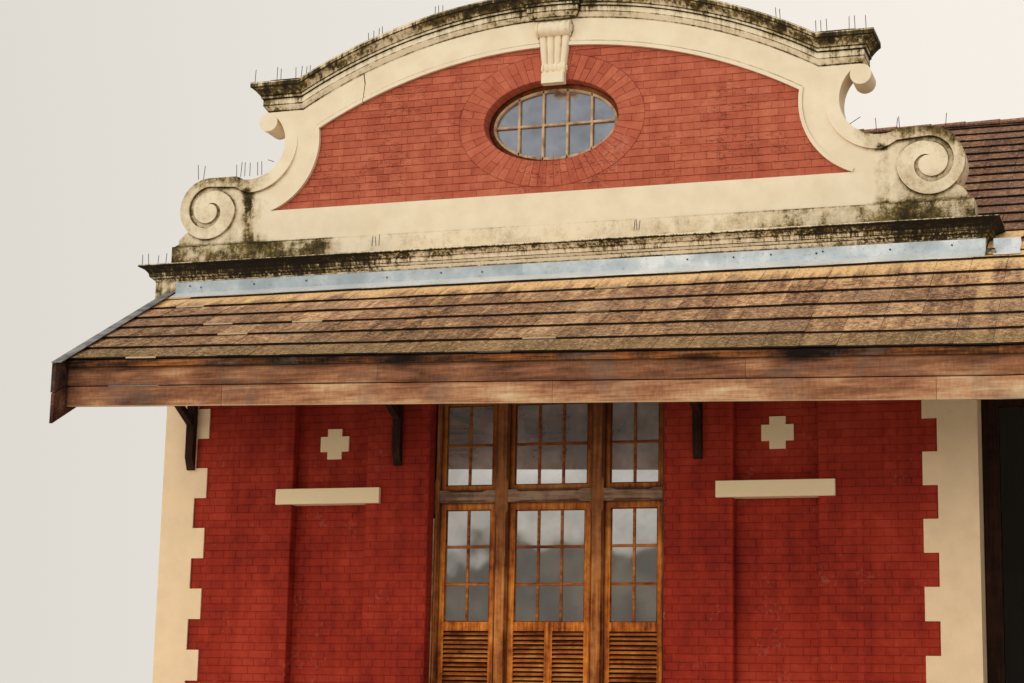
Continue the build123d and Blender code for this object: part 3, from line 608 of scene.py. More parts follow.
# Its two darkest colours serve only the thin panel behind the slats, as painted shade
m_slat = timber("varnished_rails", [(0.0, (22, 10, 5)), (0.1, (40, 18, 7)), (0.3, (118, 52, 16)),
                                    (0.46, (190, 102, 34)), (0.7, (240, 160, 76))], level, 0.42)
m_bars = timber("glazing_bars", [(0.26, (86, 42, 16)), (0.46, (168, 92, 36)), (0.68, (230, 146, 70))], level,
                0.42, darker_up)
m_frame = dress("door_frame", timber(
    "weathered_frame", [(0.24, (76, 36, 16)), (0.42, (150, 82, 36)), (0.58, (204, 126, 60)),
                        (0.74, (228, 156, 92))], upright, 0.55, greyer_up))
m_rail = timber("weathered_rails", [(0.28, (86, 60, 44)), (0.48, (130, 99, 77)), (0.70, (170, 138, 112))],
                level, 0.65)
dress("wing_door_frame canopy_beam brackets wing_brackets",
      timber("dark_timber", [(0.3, (34, 18, 12)), (0.55, (58, 32, 20)), (0.8, (88, 54, 36))], upright, 0.7))
dress("oval_frame", timber("oval_timber", [(0.3, (84, 40, 20)), (0.5, (128, 72, 34)), (0.7, (168, 108, 56))],
                           (6.0, 6.0, 6.0), 0.6))
m_soffit = dress("canopy_deck", timber(
    "soffit_boards", [(0.3, (60, 38, 28)), (0.6, (104, 72, 52)), (0.85, (132, 98, 72))], level, 0.8))
worn_board = [(0.28, lin((66, 42, 32))), (0.40, lin((112, 72, 50))), (0.52, lin((148, 98, 68))),
              (0.63, lin((182, 132, 94))), (0.80, lin((216, 184, 142)))]
m_board = dress("fascia_upper fascia_lower barge_boards",
                board("eave_boards", [(pos + 0.02, col) for pos, col in worn_board]))
m_board_low = board("lower_eave_boards", [(pos - 0.06, col) for pos, col in worn_board])
# Painted shade: the barge boards take the eave boards' colours darkened to about 0.42, for the shade they
# stand in
m_barge_shaded = board("barge_timber_painted_shade",
                [(pos, (r * 0.42, g * 0.42, b * 0.46, 1.0)) for pos, (r, g, b, a) in worn_board])
m_fillet = board("eave_fillet", [(0.38, (26, 18, 13)), (0.47, (76, 45, 25)), (0.56, (134, 78, 38)),
                                 (0.68, (170, 112, 64))])

# Paint, metal, stone and glass
m_strip = plain("strip_paint", [(0.4, (150, 104, 62)), (0.6, (214, 170, 116))], 5.0, 0.7)
m_window = plain("cream_paint", [(0.35, (146, 112, 80)), (0.55, (204, 172, 134)), (0.8, (226, 204, 168))],
                 9.0, 0.6)
dress("verge_cappings",
      plain("verge_zinc", [(0.35, (116, 114, 108)), (0.65, (172, 168, 160))], 6.0, 0.5, 0.15))
dress("floor door_sill", plain("floor_stone", [(0.3, (120, 116, 108)), (0.7, (160, 154, 144))], 12.0, 0.8))
m_iron = dress("hinges_frame_half hinges_leaf_half",
               plain("dark_iron", [(0.3, (44, 38, 34)), (0.7, (86, 74, 64))], 30.0, 0.5, 0.6))
m_zinc = dress("flashing", sheet("zinc_sheet"))
# Each glass carries its room on an opaque body: painted shade of the dim rooms behind, paler for the upper
# lights
for names, name, room, low, high, rough in (
        ("door_leaf_glass side_leaf_glass", "window_glass",
         [(0.40, (70, 64, 58)), (0.50, (108, 98, 84)), (0.60, (140, 128, 108))], 0.46, 0.64, 0.015),
        ("upper_light_glass", "upper_window_glass",
         [(0.40, (158, 158, 154)), (0.60, (208, 206, 198))], 0.46, 0.62, 0.015),
        ("oval_glass", "oval_window_glass", [(0.40, (34, 36, 42)), (0.60, (66, 68, 74))], 0.45, 0.75, 0.14)):
    dress(names, glass(name, room, low, high, rough))


# Brickwork
def clipped(poly, planes):
    """Convex polygon cut by half planes a*u + b*v <= c."""
    for a, b, c in planes:
        out = []
        for p, q in zip(poly, poly[1:] + poly[:1]):
            dp = a * p[0] + b * p[1] - c
            dq = a * q[0] + b * q[1] - c
            if dp <= 0:
                out.append(p)
            if dp * dq < 0:
                out.append(between(p, q, dp / (dp - dq)))
        poly = out
        if len(poly) < 3:
            return []
    return poly


def between(a, b, f):
    return (a[0] + (b[0] - a[0]) * f, a[1] + (b[1] - a[1]) * f)


def brick(shell, place, poly, out, turn):
    """One brick's face: sides from the wall and a bevelled front."""
    centre = (sum(p[0] for p in poly) / len(poly), sum(p[1] for p in poly) / len(poly))
    tone = float(rng.beta(2.2, 2.2))
    low = [place(u, v, 0.0) for u, v in poly]
    high = []
    for p in poly:
        d = hypot(centre[0] - p[0], centre[1] - p[1]) or 1.0
        high.append(place(*between(p, centre, min(1.5 * bevel / d, 0.5)), out))
    if turn:
        low.reverse()
        high.reverse()
    shell.prism(low, high, tone, bottom=False)


def brickwork(shell, place, u0, u1, v0, v1, planes=(), keep=None, bed_joint=joint, side_joint=head_joint):
    """Rows of stretchers and headers by turns, between two corners. place turns (u, v, out) into X, Y, Z."""
    o = Vector(place(0.0, 0.0, 0.0))
    du, dv, dn = (Vector(place(*axis)) - o for axis in ((1.0, 0.0, 0.0), (0.0, 1.0, 0.0), (0.0, 0.0, 1.0)))
    turn = du.cross(dv).dot(dn) < 0
    g = bed_joint / 2
    gh = side_joint / 2
    for row in range(floor(v0 / course + 1e-6), ceil(v1 / course - 1e-6)):
        za = max(row * course, v0) + g
        zb = min((row + 1) * course, v1) - g
        if zb - za < least_course:
            continue
        pitch = stretcher if row % 2 else stretcher / 2
        shift = 0.0 if row % 2 else stretcher / 4
        for i in range(floor((u0 - shift) / pitch), ceil((u1 - shift) / pitch)):
            a = max(i * pitch + shift, u0) + gh
            b = min((i + 1) * pitch + shift, u1) - gh
            if b - a < least_brick or (keep and not keep(a, b, za, zb)):
                continue
            slip = jitter(brick_slip)
            poly = [(a, za + slip), (b, za - slip), (b, zb - slip), (a, zb + slip)]
            poly = clipped(poly, planes)
            if poly:
                brick(shell, place, poly, proud + float(rng.uniform(-0.4, 0.6)) * 0.001, turn)


def on_y(y, way, mirror=1):
    """Places on a wall that stands at y and looks along Y, way being 1 or -1."""
    return lambda u, v, h: (mirror * u, y + way * h, v)


def on_x(x, way, mirror=1):
    return lambda u, v, h: (mirror * (x + way * h), u, v)


def brick_piece(name, mat, slot, *areas, **how):
    shell = Shell()
    for area in areas:
        brickwork(shell, *area, **how)
    shell.build(name, mat, slot)


def roof_under(d):
    return under_ridge - abs(d) * slope


def in_field(a, b, za, zb):
    """Whether a gable brick shows: under the arch, between the curves and outside the oval's ring."""
    near = min(abs(a), abs(b))
    if hypot(near, za - arch_cz) > arch_r + 0.02:
        return False
    dz = min(abs(za - curve_z), abs(zb - curve_z))
    edge = curve_x - sqrt(max(curve_r ** 2 - dz ** 2, 0.0)) if dz < curve_r else half_w
    if near > edge + 0.03:
        return False
    far_u = max(abs(a), abs(b))
    far_v = max(abs(za - oval_z), abs(zb - oval_z))
    return hypot(far_u / (oval_a + ring_w - 0.01), far_v / (oval_b + ring_w - 0.01)) > 1.0


areas = []
for s in (-1, 1):
    areas += [(on_y(0.0, -1, s), door_half, panel_in, 0.0, frieze_z),
              (on_y(0.0, -1, s), panel_out, half_w - quoin_w, 0.0, frieze_z),
              (on_y(panel_depth, -1, s), panel_in, panel_out, 0.0, frieze_z),
              (on_x(panel_in, 1, s), 0.0, panel_depth, 0.0, frieze_z),
              (on_x(panel_out, -1, s), 0.0, panel_depth, 0.0, frieze_z),
              (on_x(door_half, -1, s), 0.0, frame_y, 0.0, door_h)]
areas += [(on_y(0.0, -1), -door_half, door_half, door_h, frieze_z),
          (lambda u, v, h: (u, v, door_h - h), -door_half, door_half, 0.0, frame_y)]
brick_piece("bricks_front", m_wall, "wall_brick", *areas)
brick_piece("bricks_side", m_plain, "plain_brick",
            (on_x(-half_w, -1), quoin_depth, build_back, 0.0, roof_under(half_w)))
brick_piece("bricks_back", m_plain, "plain_brick", (on_y(build_back, 1), -half_w, half_w, 0.0, ridge_z),
            planes=[(slope, 1.0, under_ridge), (-slope, 1.0, under_ridge)])
wing_top = roof_under(wing_front - ridge_y)
brick_piece("bricks_wing", m_plain, "plain_brick",
            (on_y(build_back, 1), half_w, wing_end, 0.0, roof_under(build_back - ridge_y)),
            (on_y(wing_front, -1), wing_door_x1, wing_end, 0.0, wing_top),
            (on_y(wing_front, -1), half_w + 0.02, wing_door_x1, wing_door_h, wing_top))
brick_piece("bricks_end", m_plain, "plain_brick", (on_x(wing_end, 1), wing_front, build_back, 0.0, ridge_z),
            planes=[(s * slope, 1.0, under_ridge + s * ridge_y * slope) for s in (1, -1)])
brick_piece("bricks_gable", m_gable, "gable_brick",
            (on_y(0.0, -1), -field_half, field_half, gable_base - 0.02, field_top),
            keep=in_field, bed_joint=0.006, side_joint=ring_gap)


# Radial bricks round the oval window, on a bed that covers the field's cut bricks
def on_oval(t, d):
    """Point at angle t, d outside the opening's edge."""
    return ((oval_a + d) * cos(t), oval_z + (oval_b + d) * sin(t))


def even_angles(n):
    """Angles that step evenly along the oval's edge."""
    fine = np.linspace(0, 2 * pi, 2001)
    pts = np.array([on_oval(t, ring_w / 2) for t in fine])
    run = np.concatenate([[0], np.cumsum(np.hypot(*np.diff(pts, axis=0).T))])
    return np.interp(np.linspace(0, run[-1], n + 1), run, fine)


def upright_at(y, *pts):
    return [(x, y, z) for x, z in pts]


ring = Shell()
bed = Shell()
end_gap = 0.02
angles = even_angles(ring_n)
for i, (t0, t1) in enumerate(zip(angles, angles[1:])):
    o0, o1, i0, i1 = on_oval(t0, ring_w), on_oval(t1, ring_w), on_oval(t0, 0), on_oval(t1, 0)
    bed.add(upright_at(ring_bed, i0, o0, o1, i1), [(0, 1, 2, 3)])
    bed.add(upright_at(ring_bed, o0, o1) + upright_at(0.0, o1, o0), [(3, 2, 1, 0)])
    f0 = ring_gap / hypot(i1[0] - i0[0], i1[1] - i0[1])
    f1 = ring_gap / hypot(o1[0] - o0[0], o1[1] - o0[1])
    cuts = [(0.0, 0.5), (0.5, 1.0)] if i % 2 else [(0.0, 1.0)]
    for c0, c1 in cuts:
        d0 = c0 + end_gap if c0 else 0.0
        d1 = c1 - end_gap if c1 == 1.0 else c1
        poly = []
        for f_in, f_out, ends in ((f0, f1, (d0, d1)), (1 - f0, 1 - f1, (d1, d0))):
            a = between(i0, i1, f_in)
            b = between(o0, o1, f_out)
            poly += [between(a, b, d) for d in ends]
        brick(ring, on_y(ring_bed, -1), poly, 0.0022, False)
    inner = [between(i0, i1, f0), between(i0, i1, 1 - f0)]
    low = upright_at(0.0, *inner) + upright_at(oval_y, *inner[::-1])
    high = [(x * 0.996, y, oval_z + (z - oval_z) * 0.994) for x, y, z in low]
    ring.prism(low, high, mid_tone(), bottom=False)
ring.build("bricks_oval_ring", m_gable, "gable_brick")
bed.build("joints_oval_ring", m_gable_joint, "gable_brick")


# Roof tiles: each one a wedge whose lower lip stands off the tile below
def tiles(shell, height, across, down, t0, t1, s0, s1, planes=(), base=0.0, step=gauge, skip=None):
    """Tiles in plan, from the upper end s0 down to s1. across and down are the plan axes."""
    rows = ceil((s1 - s0) / step - 0.02)
    cols = round((t1 - t0) / tile_w)
    width = (t1 - t0) / cols
    for r in range(rows):
        sb = s1 - (rows - 1 - r) * step
        sa = sb - step
        for c in range(cols):
            ta = t0 + c * width + 0.0015
            tb = ta + width - 0.003
            dip = jitter(0.003)
            s_low = min(sb + jitter(0.004), s1)
            s_top = max(sa - tile_lap, s0)
            poly = clipped([(ta, s_top), (tb, s_top), (tb, s_low), (ta, s_low)], planes)
            plan = [(across[0] * t + down[0] * s, across[1] * t + down[1] * s) for t, s in poly]
            if not poly or (skip and skip(plan)):
                continue
            rise = [base - lip + (lip + dip) * min(max((s - sa) / step, 0.0), 1.0) for t, s in poly]
            top = [(x, y, height(x, y) + k) for (x, y), k in zip(plan, rise)]
            low = [(x, y, z - tile_t) for x, y, z in top]
            area = sum(p[0] * q[1] - q[0] * p[1] for p, q in zip(plan, plan[1:] + plan[:1]))
            if area < 0:
                low.reverse()
                top.reverse()
            shell.prism(low, top, mid_tone())


def deck_top(x, y):
    """Top of the canopy's deck, whose eave falls from the left to drop_end."""
    fall = eave_drop * min(max((x - can_left) / (drop_end - can_left), 0.0), 1.0)
    t = (y - frieze_y) / (can_eave_y - frieze_y)
    return can_wall_z + (eave_z - fall - can_wall_z) * t


def wing_slope(x, y):
    return ridge_z - abs(y - ridge_y) * slope


def pavilion_slope(x, y):
    return ridge_z - abs(x) * slope


# Canopy: its tiles, and the boards under it
canopy = Shell()
for t0, s0, s1 in ((can_left, -frieze_y, -can_eave_y), (frieze_half + 0.005, -wing_front, -frieze_y)):
    tiles(canopy, deck_top, (1, 0), (0, -1), t0, can_right, s0, s1, step=canopy_gauge)
canopy.build("canopy_tiles", m_canopy_tile, "roof_tile")

deck = Shell()
fillet = Shell()
n_board = 13
board_w = (can_eave_y - frieze_y) / n_board
board_lap = 0.005
for xa, xb in ((can_left, drop_end), (drop_end, can_right)):
    for i in range(n_board):
        last = i + 1 == n_board
        y0 = frieze_y + board_w * i
        y1 = frieze_y + board_w * (i + 1) + (0.0 if last else board_lap)
        plan = [(x, y, deck_top(x, y)) for x, y in ((xa, y1), (xb, y1), (xb, y0), (xa, y0))]
        (fillet if last else deck).prism([(x, y, z - can_t) for x, y, z in plan],
                                         [(x, y, z - under) for x, y, z in plan], any_tone())
fillet.build("eave_fillet", m_fillet, "roof_tile", stands_for=["canopy_deck"])
low = []
high = []
for x, y in ((frieze_half, frieze_y), (can_right, frieze_y), (can_right, wing_front),
             (frieze_half, wing_front)):
    z0 = deck_top(x, y) - can_t
    low.append((x, y, z0))
    high.append((x, y, max(min(deck_top(x, y) - under, wing_slope(x, y) - drop_t), z0 + 0.005)))
deck.prism(low, high)
deck.build("canopy_boarding", m_soffit, "roof_tile", stands_for=["canopy_deck"])


# Eave boards: two rows with open joints, each with a worn lower edge
def eave_board(shell, x0, x1, down, y, worn):
    """Board along the eave, its lower front edge worn to a pale arris."""
    arris = 0.007
    gap = 0.0015
    thick = 0.03
    xs = [x0 + gap] + [x for x in (drop_end,) if x0 < x < x1] + [x1 - gap]
    rings = []
    for x in xs:
        zb = deck_top(x, fascia_y) - can_t - down
        zt = zb + board_h
        rings.append([(x, y + arris, zb), (x, y, zb + arris), (x, y, zt - 0.009), (x, y + thick, zt),
                      (x, y + thick, zb)])
    tone = any_tone()
    for p, q in zip(rings, rings[1:]):
        shell.add([p[0], q[0], q[1], p[1]], [(0, 1, 2, 3)], worn)
        shell.add(p[1:] + p[:1] + q[1:] + q[:1],
                  [(i, i + 5, (i + 1) % 5 + 5, (i + 1) % 5) for i in range(4)], tone)
    shell.add(rings[0], [(0, 1, 2, 3, 4)], tone)
    shell.add(rings[-1], [(4, 3, 2, 1, 0)], tone)


for row, mat, worn, down, y, joints_x in (
        ("upper", m_board, 1.0, board_h, fascia_y - 0.004, (-0.9, 2.36, 5.3)),
        ("lower", m_board_low, 2.6, 2 * board_h, fascia_y + 0.006, (-2.4, 0.7, 3.9, 6.6))):
    boards = Shell()
    ends = (can_left,) + joints_x + (can_right,)
    for x0, x1 in zip(ends, ends[1:]):
        eave_board(boards, x0, x1, down, y, worn)
    boards.build("fascia_board_" + row, mat, "eave_board", stands_for=["fascia_" + row])

# Barge boards in pairs, the lower ones a little thinner
barge = Shell()
for edge_x, way in ((can_left, -1), (can_right, 1)):
    z0, z1 = (deck_top(edge_x, y) + barge_rise for y in (frieze_y, barge_y))
    for top_d, low_d, inset in ((0.0, -0.276, 0.0), (-0.284, -0.56, 0.008)):
        a, b = sorted((edge_x, edge_x + way * (barge_t - inset)))
        outline = [(frieze_y, z0 + low_d), (frieze_y, z0 + top_d), (barge_y, z1 + top_d),
                   (barge_y, z1 + low_d)]
        barge.prism([(a, y, z) for y, z in outline], [(b, y, z) for y, z in outline], any_tone())
barge.build("barge_board_pairs", m_barge_shaded, "eave_board", stands_for=["barge_boards"])

# Tiles of the pavilion's roof and the wing's
roof_x = Shell()
for way, planes in ((-1, ()), (1, [(1, 1, ridge_y)]), (1, [(-1, 1, -ridge_y)])):
    tiles(roof_x, pavilion_slope, (0, 1), (way, 0), roof_front, roof_back, 0.0, roof_eave, planes, base=lift)
roof_x.build("pavilion_roof_tiles", m_tile_x, "roof_tile")
roof_y = Shell()
tiles(roof_y, wing_slope, (1, 0), (0, -1), 0.0, roof_end_x, -ridge_y, -0.05, [(-1, 1, -ridge_y)], base=lift,
      skip=lambda plan: min(p[1] for p in plan) < roof_front and min(p[0] for p in plan) < 4.3)
tiles(roof_y, wing_slope, (1, 0), (0, 1), 0.0, roof_end_x, ridge_y, roof_end_y, [(-1, 1, ridge_y)], base=lift)
roof_y.build("wing_roof_tiles", m_tile_y, "roof_tile")


# Half-round ridge tiles that overlap
for roof, a, b, along_x, mat in (("pavilion", roof_front, roof_back, False, m_tile_y),
                                 ("wing", 0.13, roof_end_x, True, m_tile_x)):
    ridge = Shell()
    n = round((b - a) / 0.38)
    step = (b - a) / n
    for i in range(n):
        s0 = a + i * step
        tone = mid_tone()
        pts = []
        for s, r in ((s0, 0.130), (min(s0 + step + tile_lap, b), 0.142)):
            for rad in (r, r - tile_t):
                for j in range(13):
                    ang = radians(8) + (pi - 2 * radians(8)) * j / 12
                    w = rad * cos(ang)
                    z = ridge_z - 0.075 + rad * sin(ang) * 0.92
                    pts.append((s, ridge_y + w, z) if along_x else (w, s, z))
        corners = ((0, 1, 27, 26), (14, 13, 39, 40), (26, 27, 40, 39), (1, 0, 13, 14))
        ridge.add(pts, [tuple(k + j for k in quad) for quad in corners for j in range(12)], tone)
    ridge.build(roof + "_ridge_tiles", mat, "roof_tile", stands_for=[roof + "_ridge"])


# Joinery of the front door
def chamfered(shell, x0, x1, y0, y1, z0, z1, stops, along_z=True):
    """Bar whose front edges are chamfered, except within the given stretches along it."""
    a0, a1 = (z0, z1) if along_z else (x0, x1)

    def cut_at(a):
        return 0.0 if any(s0 <= a <= s1 for s0, s1 in stops) else chamfer

    keys = [(a0, cut_at(a0))]
    for s0, s1 in sorted(stops):
        if s0 > a0:
            keys += [(s0 - 2 * chamfer, chamfer), (s0, 0.0)]
        if s1 < a1:
            keys += [(s1, 0.0), (s1 + 2 * chamfer, chamfer)]
    keys.append((a1, cut_at(a1)))
    pts = []
    for a, c in keys:
        c = max(c, 0.0005)
        if along_z:
            sec = [(x0 + c, y0), (x1 - c, y0), (x1, y0 + c), (x1, y1), (x0, y1), (x0, y0 + c)]
            pts += [(x, y, a) for x, y in sec]
        else:
            sec = [(z0 + c, y0), (z0, y0 + c), (z0, y1), (z1, y1), (z1, y0 + c), (z1 - c, y0)]
            pts += [(a, y, z) for z, y in sec]
    tone = any_tone()
    shell.add(pts, [tuple(range(5, -1, -1)), tuple(range(len(pts) - 6, len(pts)))], tone)
    n = len(shell.verts) - len(pts)
    # Painted shade: the chamfer faces get a much lower tone, so they come out darker
    shaded_chamfer_faces = (1, 5) if along_z else (0, 4)
    for k in range(len(keys) - 1):
        for i, f in enumerate(belt(6, n + 6 * k, n + 6 * k + 6)):
            shell.faces.append(f)
            shell.tones.append(tone - 1.6 if i in shaded_chamfer_faces else tone)


posts = Shell()
z_stop = [(transom_z - 0.075, transom_top + 0.075)]
for x0, x1 in ((-door_half, -door_half + jamb_w), (-mullion_out, -mullion_in), (mullion_in, mullion_out),
               (door_half - jamb_w, door_half)):
    chamfered(posts, x0, x1, frame_y, stop_back, floor_t, door_h, z_stop)
    ra = x0 if x0 == -door_half else x0 + rebate
    rb = x1 if x1 == door_half else x1 - rebate
    posts.box(ra, rb, stop_back, frame_back, floor_t, door_h)
bays = ((-door_half + jamb_w, -mullion_out), (-mullion_in, mullion_in), (mullion_out, door_half - jamb_w))
rails = Shell()
for x0, x1 in bays:
    end_stops = [(x0, x0 + 0.085), (x1 - 0.085, x1)]
    chamfered(rails, x0, x1, frame_y + 0.002, stop_back, transom_z, transom_top, end_stops, along_z=False)
    rails.box(x0 - rebate, x1 + rebate, stop_back, frame_back, transom_z + rebate, transom_top - rebate)
    rails.box(x0, x1, frame_y, stop_back, head_z, door_h)
    rails.box(x0 - rebate, x1 + rebate, stop_back, frame_back, head_z + rebate, door_h)
posts.build("door_posts", m_frame, "frame_wood", stands_for=["door_frame"])
rails.build("door_rails", m_rail, "frame_wood", stands_for=["door_frame"])


def lattice(shell, hole, cols, rows):
    """Glazing bars and the beads round the glass, in a hole (x0, x1, z0, z1)."""
    x0, x1, z0, z1 = hole
    y0, y1 = glass_y0, glass_y1
    for i in range(1, cols):
        x = x0 + (x1 - x0) * i / cols
        shell.box(x - bar_w / 2, x + bar_w / 2, y0, y1, z0, z1, cut=0.006)
    for i in range(1, rows):
        z = z0 + (z1 - z0) * i / rows
        shell.box(x0, x1, y0 + 0.001, y1 - 0.001, z - bar_w / 2, z + bar_w / 2, cut=0.006)
    for xa, xb, za, zb in ((x0, x0 + bead_w, z0, z1), (x1 - bead_w, x1, z0, z1), (x0, x1, z0, z0 + bead_w),
                           (x0, x1, z1 - bead_w, z1)):
        shell.box(xa, xb, y0 + 0.006, y1 - 0.006, za, zb)


def slats(shell, x0, x1, z0, z1):
    """Louvre slats on both sides of a thin panel."""
    n = int((z1 - z0) / 0.0405)
    pitch = (z1 - z0) / n
    for y, s in ((leaf_y, 1), (frame_back, -1)):
        ya, yb = sorted((y + s * 0.0155, y + s * 0.0164))
        # Painted shade: the thin panel between the slats is coloured near black, the shade in the gaps
        shell.box(x0, x1, ya, yb, z0, z1, tone=-6.0)
        for i in range(n):
            z = z0 + i * pitch
            pts = [(y + s * d, z + up) for d, up in ((0.0005, 0.014), (0.0005, 0.005), (0.0165, pitch * 0.50),
                                                     (0.0165, pitch * 0.75))][::s]
            shell.prism([(x1, *p) for p in pts], [(x0, *p) for p in pts], any_tone())


for name, bay, gap, cols, panels, body in (("left_leaf", bays[0], 0.0, 2, 1, "root"),
                                           ("door_leaf", bays[1], 0.007, 3, 2, "leaf"),
                                           ("right_leaf", bays[2], 0.0, 2, 1, "root")):
    a = bay[0] - rebate + gap + stile
    b = bay[1] + rebate - gap - stile
    bars = Shell()
    lattice(bars, (a, b, mid_rail_top, transom_z + rebate - gap - 0.075), cols, 3)
    bars.build(name + "_bars", m_bars, "door_wood", body)
    louvre = Shell()
    w = (b - a - (panels - 1) * muntin) / panels
    for i in range(panels):
        p = a + i * (w + muntin)
        slats(louvre, p, p + w, floor_t + gap + 0.16, mid_rail_z)
    louvre.build(name + "_louvres", m_slat, "door_wood", body)
upper = Shell()
edge = 0.06 - rebate
for bay, cols in zip(bays, (2, 3, 2)):
    lattice(upper, (bay[0] + edge, bay[1] - edge, transom_top + edge, head_z - edge), cols, 2)
upper.build("upper_light_bars", m_bars, "frame_wood")

# Oval window: bars and a bead next to the glass
oval = Shell()
in_a = oval_a - 0.058
in_b = oval_b - 0.058
half_bar = 0.0125
y0, y1 = oval_y - 0.004, oval_y + 0.026
for x in (-0.375, -0.125, 0.125, 0.375):
    h = in_b * sqrt(1 - (x / in_a) ** 2) + 0.01
    oval.box(x - half_bar, x + half_bar, y0, y1, oval_z - h, oval_z + h, cut=0.005)
oval.box(-in_a - 0.01, in_a + 0.01, y0 + 0.001, y1 - 0.001, oval_z - half_bar, oval_z + half_bar, cut=0.005)
n = 96
pts = []
faces = []
for k, (d, y) in enumerate(((0.004, y1), (0.004, y0), (-0.022, y0), (-0.022, y1))):
    turns = [2 * pi * i / n for i in range(n)]
    pts += [((in_a + d) * cos(t), y, oval_z + (in_b + d) * sin(t)) for t in turns]
    faces += belt(n, k * n, (k + 1) % 4 * n)
oval.add(pts, faces)
oval.build("oval_window_bars", m_window, "window_paint")


# Keystone: a roll over a fluted neck, a smaller roll and a sloped foot
key_x = 0.035
n_lobes = 4


def lobes(half, z, y_mid, y_amp, per=6):
    """Row of convex lobes across a width: points of their front outline, left to right."""
    pts = []
    for i in range(n_lobes):
        for j in range(per):
            t = j / per
            x = key_x - half + 2 * half * (i + t) / n_lobes
            pts.append((x, y_mid - y_amp * sqrt(1 - (2 * t - 1) ** 2), z))
    pts.append((key_x + half, y_mid, z))
    return pts


def roll(shell, y, z, r, half):
    """Lying roll with a ring and a button at each end and soft lobes along it."""
    steps = 8 * n_lobes
    prof = [(-half, 0.0), (-half, r * 0.45), (-half + 0.012, r * 0.55), (-half + 0.013, r * 0.95),
            (-half + 0.03, r), (-half + 0.034, r * 0.86)]
    a = -half + 0.036
    for i in range(steps + 1):
        t = i / steps
        prof.append((a + (-2 * a) * t, r * (0.86 + 0.10 * abs(sin(pi * n_lobes * t)))))
    prof += [(-x, k) for x, k in prof[5::-1]]
    m = 28
    turns = [2 * pi * j / m for j in range(m)]
    pts = [(key_x + x, y + k * cos(t), z + k * sin(t)) for x, k in prof for t in turns]
    shell.add(pts, [f for i in range(len(prof) - 1) for f in belt(m, m * i, m * i + m)])


key = Shell()
roll(key, -0.052, 6.97, 0.080, 0.185)
roll(key, -0.014, 6.575, 0.058, 0.1325)
levels = []
for z, half, y_front in ((7.02, 0.160, -0.050), (6.93, 0.160, -0.050), (6.885, 0.156, -0.052),
                         (6.75, 0.142, -0.050), (6.62, 0.127, -0.046), (6.50, 0.114, -0.048)):
    outline = lobes(half, z, y_front + 0.016, 0.026)
    levels.append(outline + [(key_x + half, 0.0, z), (key_x - half, 0.0, z)])
m = len(levels[0])
key.add(sum(levels, []), [(m * i + j, m * i + m + j, m * i + m + (j + 1) % m, m * i + (j + 1) % m)
                          for i in range(len(levels) - 1) for j in range(m)] + [tuple(range(m))])
half = 0.1165
foot = [(half, 0.0), (half, -0.078), (half - 0.012, -0.09), (0.012 - half, -0.09), (-half, -0.078),
        (-half, 0.0)]
key.prism([(key_x + x, y, 6.41) for x, y in foot], [(key_x + x, y, 6.517) for x, y in foot])
key.build("keystone_carving", m_key, "render", stands_for=["keystone"])


# Bird spikes, nail heads, a scrap of sheet and a crumb of render
def rod(shell, p, q, r=0.0034):
    d = (Vector(q) - Vector(p)).normalized()
    a = d.orthogonal().normalized()
    b = d.cross(a)
    ring = [a * (r * cos(2 * pi * i / 5)) + b * (r * sin(2 * pi * i / 5)) for i in range(5)]
    shell.prism([Vector(p) + v for v in ring], [Vector(q) + v for v in ring])


spikes = Shell()
clusters = (
    (-0.25, cornice_top, 0.115, (-4.266, -4.194, -4.092, -4.001)),
    (-0.12, plinth_step, 0.105, (-1.795, -1.752, -1.720)),
    (-0.12, plinth_step, 0.105, (0.886, 0.916, 0.935)),
    (-0.05, scroll_top, 0.145, (-3.785, -3.727, -3.350, -3.305, -3.259, -3.202, -3.113, -3.067)),
    (-0.05, scroll_top, 0.110, (3.174, 3.358, 3.386, 3.804)),
    (-0.05, block_top, 0.150, (-3.193, -2.945, -2.900, -2.731, -2.675, -2.620, -2.576)),
    (-0.05, block_top, 0.150, (2.622, 2.670, 2.726, 2.933, 2.990, 3.092)),
)
for y, z, tall, places in clusters:
    for x in places:
        sway = jitter(0.012)
        top = z + tall * float(rng.uniform(0.85, 1.1))
        rod(spikes, (x, y, z - 0.004), (x + sway, y + 0.3 * sway, top))
for x in (-1.925, -1.871, -1.817, -1.773, -1.214, -1.171, -1.128, 2.251, 2.289):
    z = arch_cz + sqrt(top_r ** 2 - x ** 2)
    rod(spikes, (x, -0.08, z - 0.006), (x + jitter(0.01), -0.08, min(z + 0.125, top_r + arch_cz - 0.004)))
for x0, z0, x1, z1 in ((-3.006, 5.855, -2.937, 5.829), (2.915, 5.768, 3.027, 5.837),
                       (2.915, 5.768, 2.970, 5.734)):
    rod(spikes, (x0, -0.05, z0), (x1, -0.05, z1))
for i in range(9):
    t = radians(222 + 12 * i)
    x = 0.66 * cos(t)
    z = oval_z + 0.385 * sin(t)
    rod(spikes, (x, 0.125, z), (x, 0.105, z + 0.05), 0.0015)
spikes.build("bird_spikes", m_iron, "iron")

nails = Shell()
nail_r = 0.009
nail_dome = ((0.0, 1.0), (0.003, 0.85), (0.005, 0.0001))
nail_y = frieze_y - 0.012
for x in (-3.75, -3.625, -3.034, -2.464, -1.598, -1.033, -0.61, 1.42, 1.86, 2.21, 2.63, 2.69, 3.3, 3.85):
    z = 4.53 + jitter(0.015)
    for (d0, w0), (d1, w1) in zip(nail_dome, nail_dome[1:]):
        for j in range(8):
            t0, t1 = 2 * pi * j / 8, 2 * pi * (j + 1) / 8
            corners = ((d0, w0, t0), (d0, w0, t1), (d1, w1, t1), (d1, w1, t0))
            nails.add([(x + nail_r * w * cos(t), nail_y - d, z + nail_r * w * sin(t)) for d, w, t in corners],
                      [(0, 1, 2, 3)])
nails.build("flashing_nails", m_iron, "zinc")


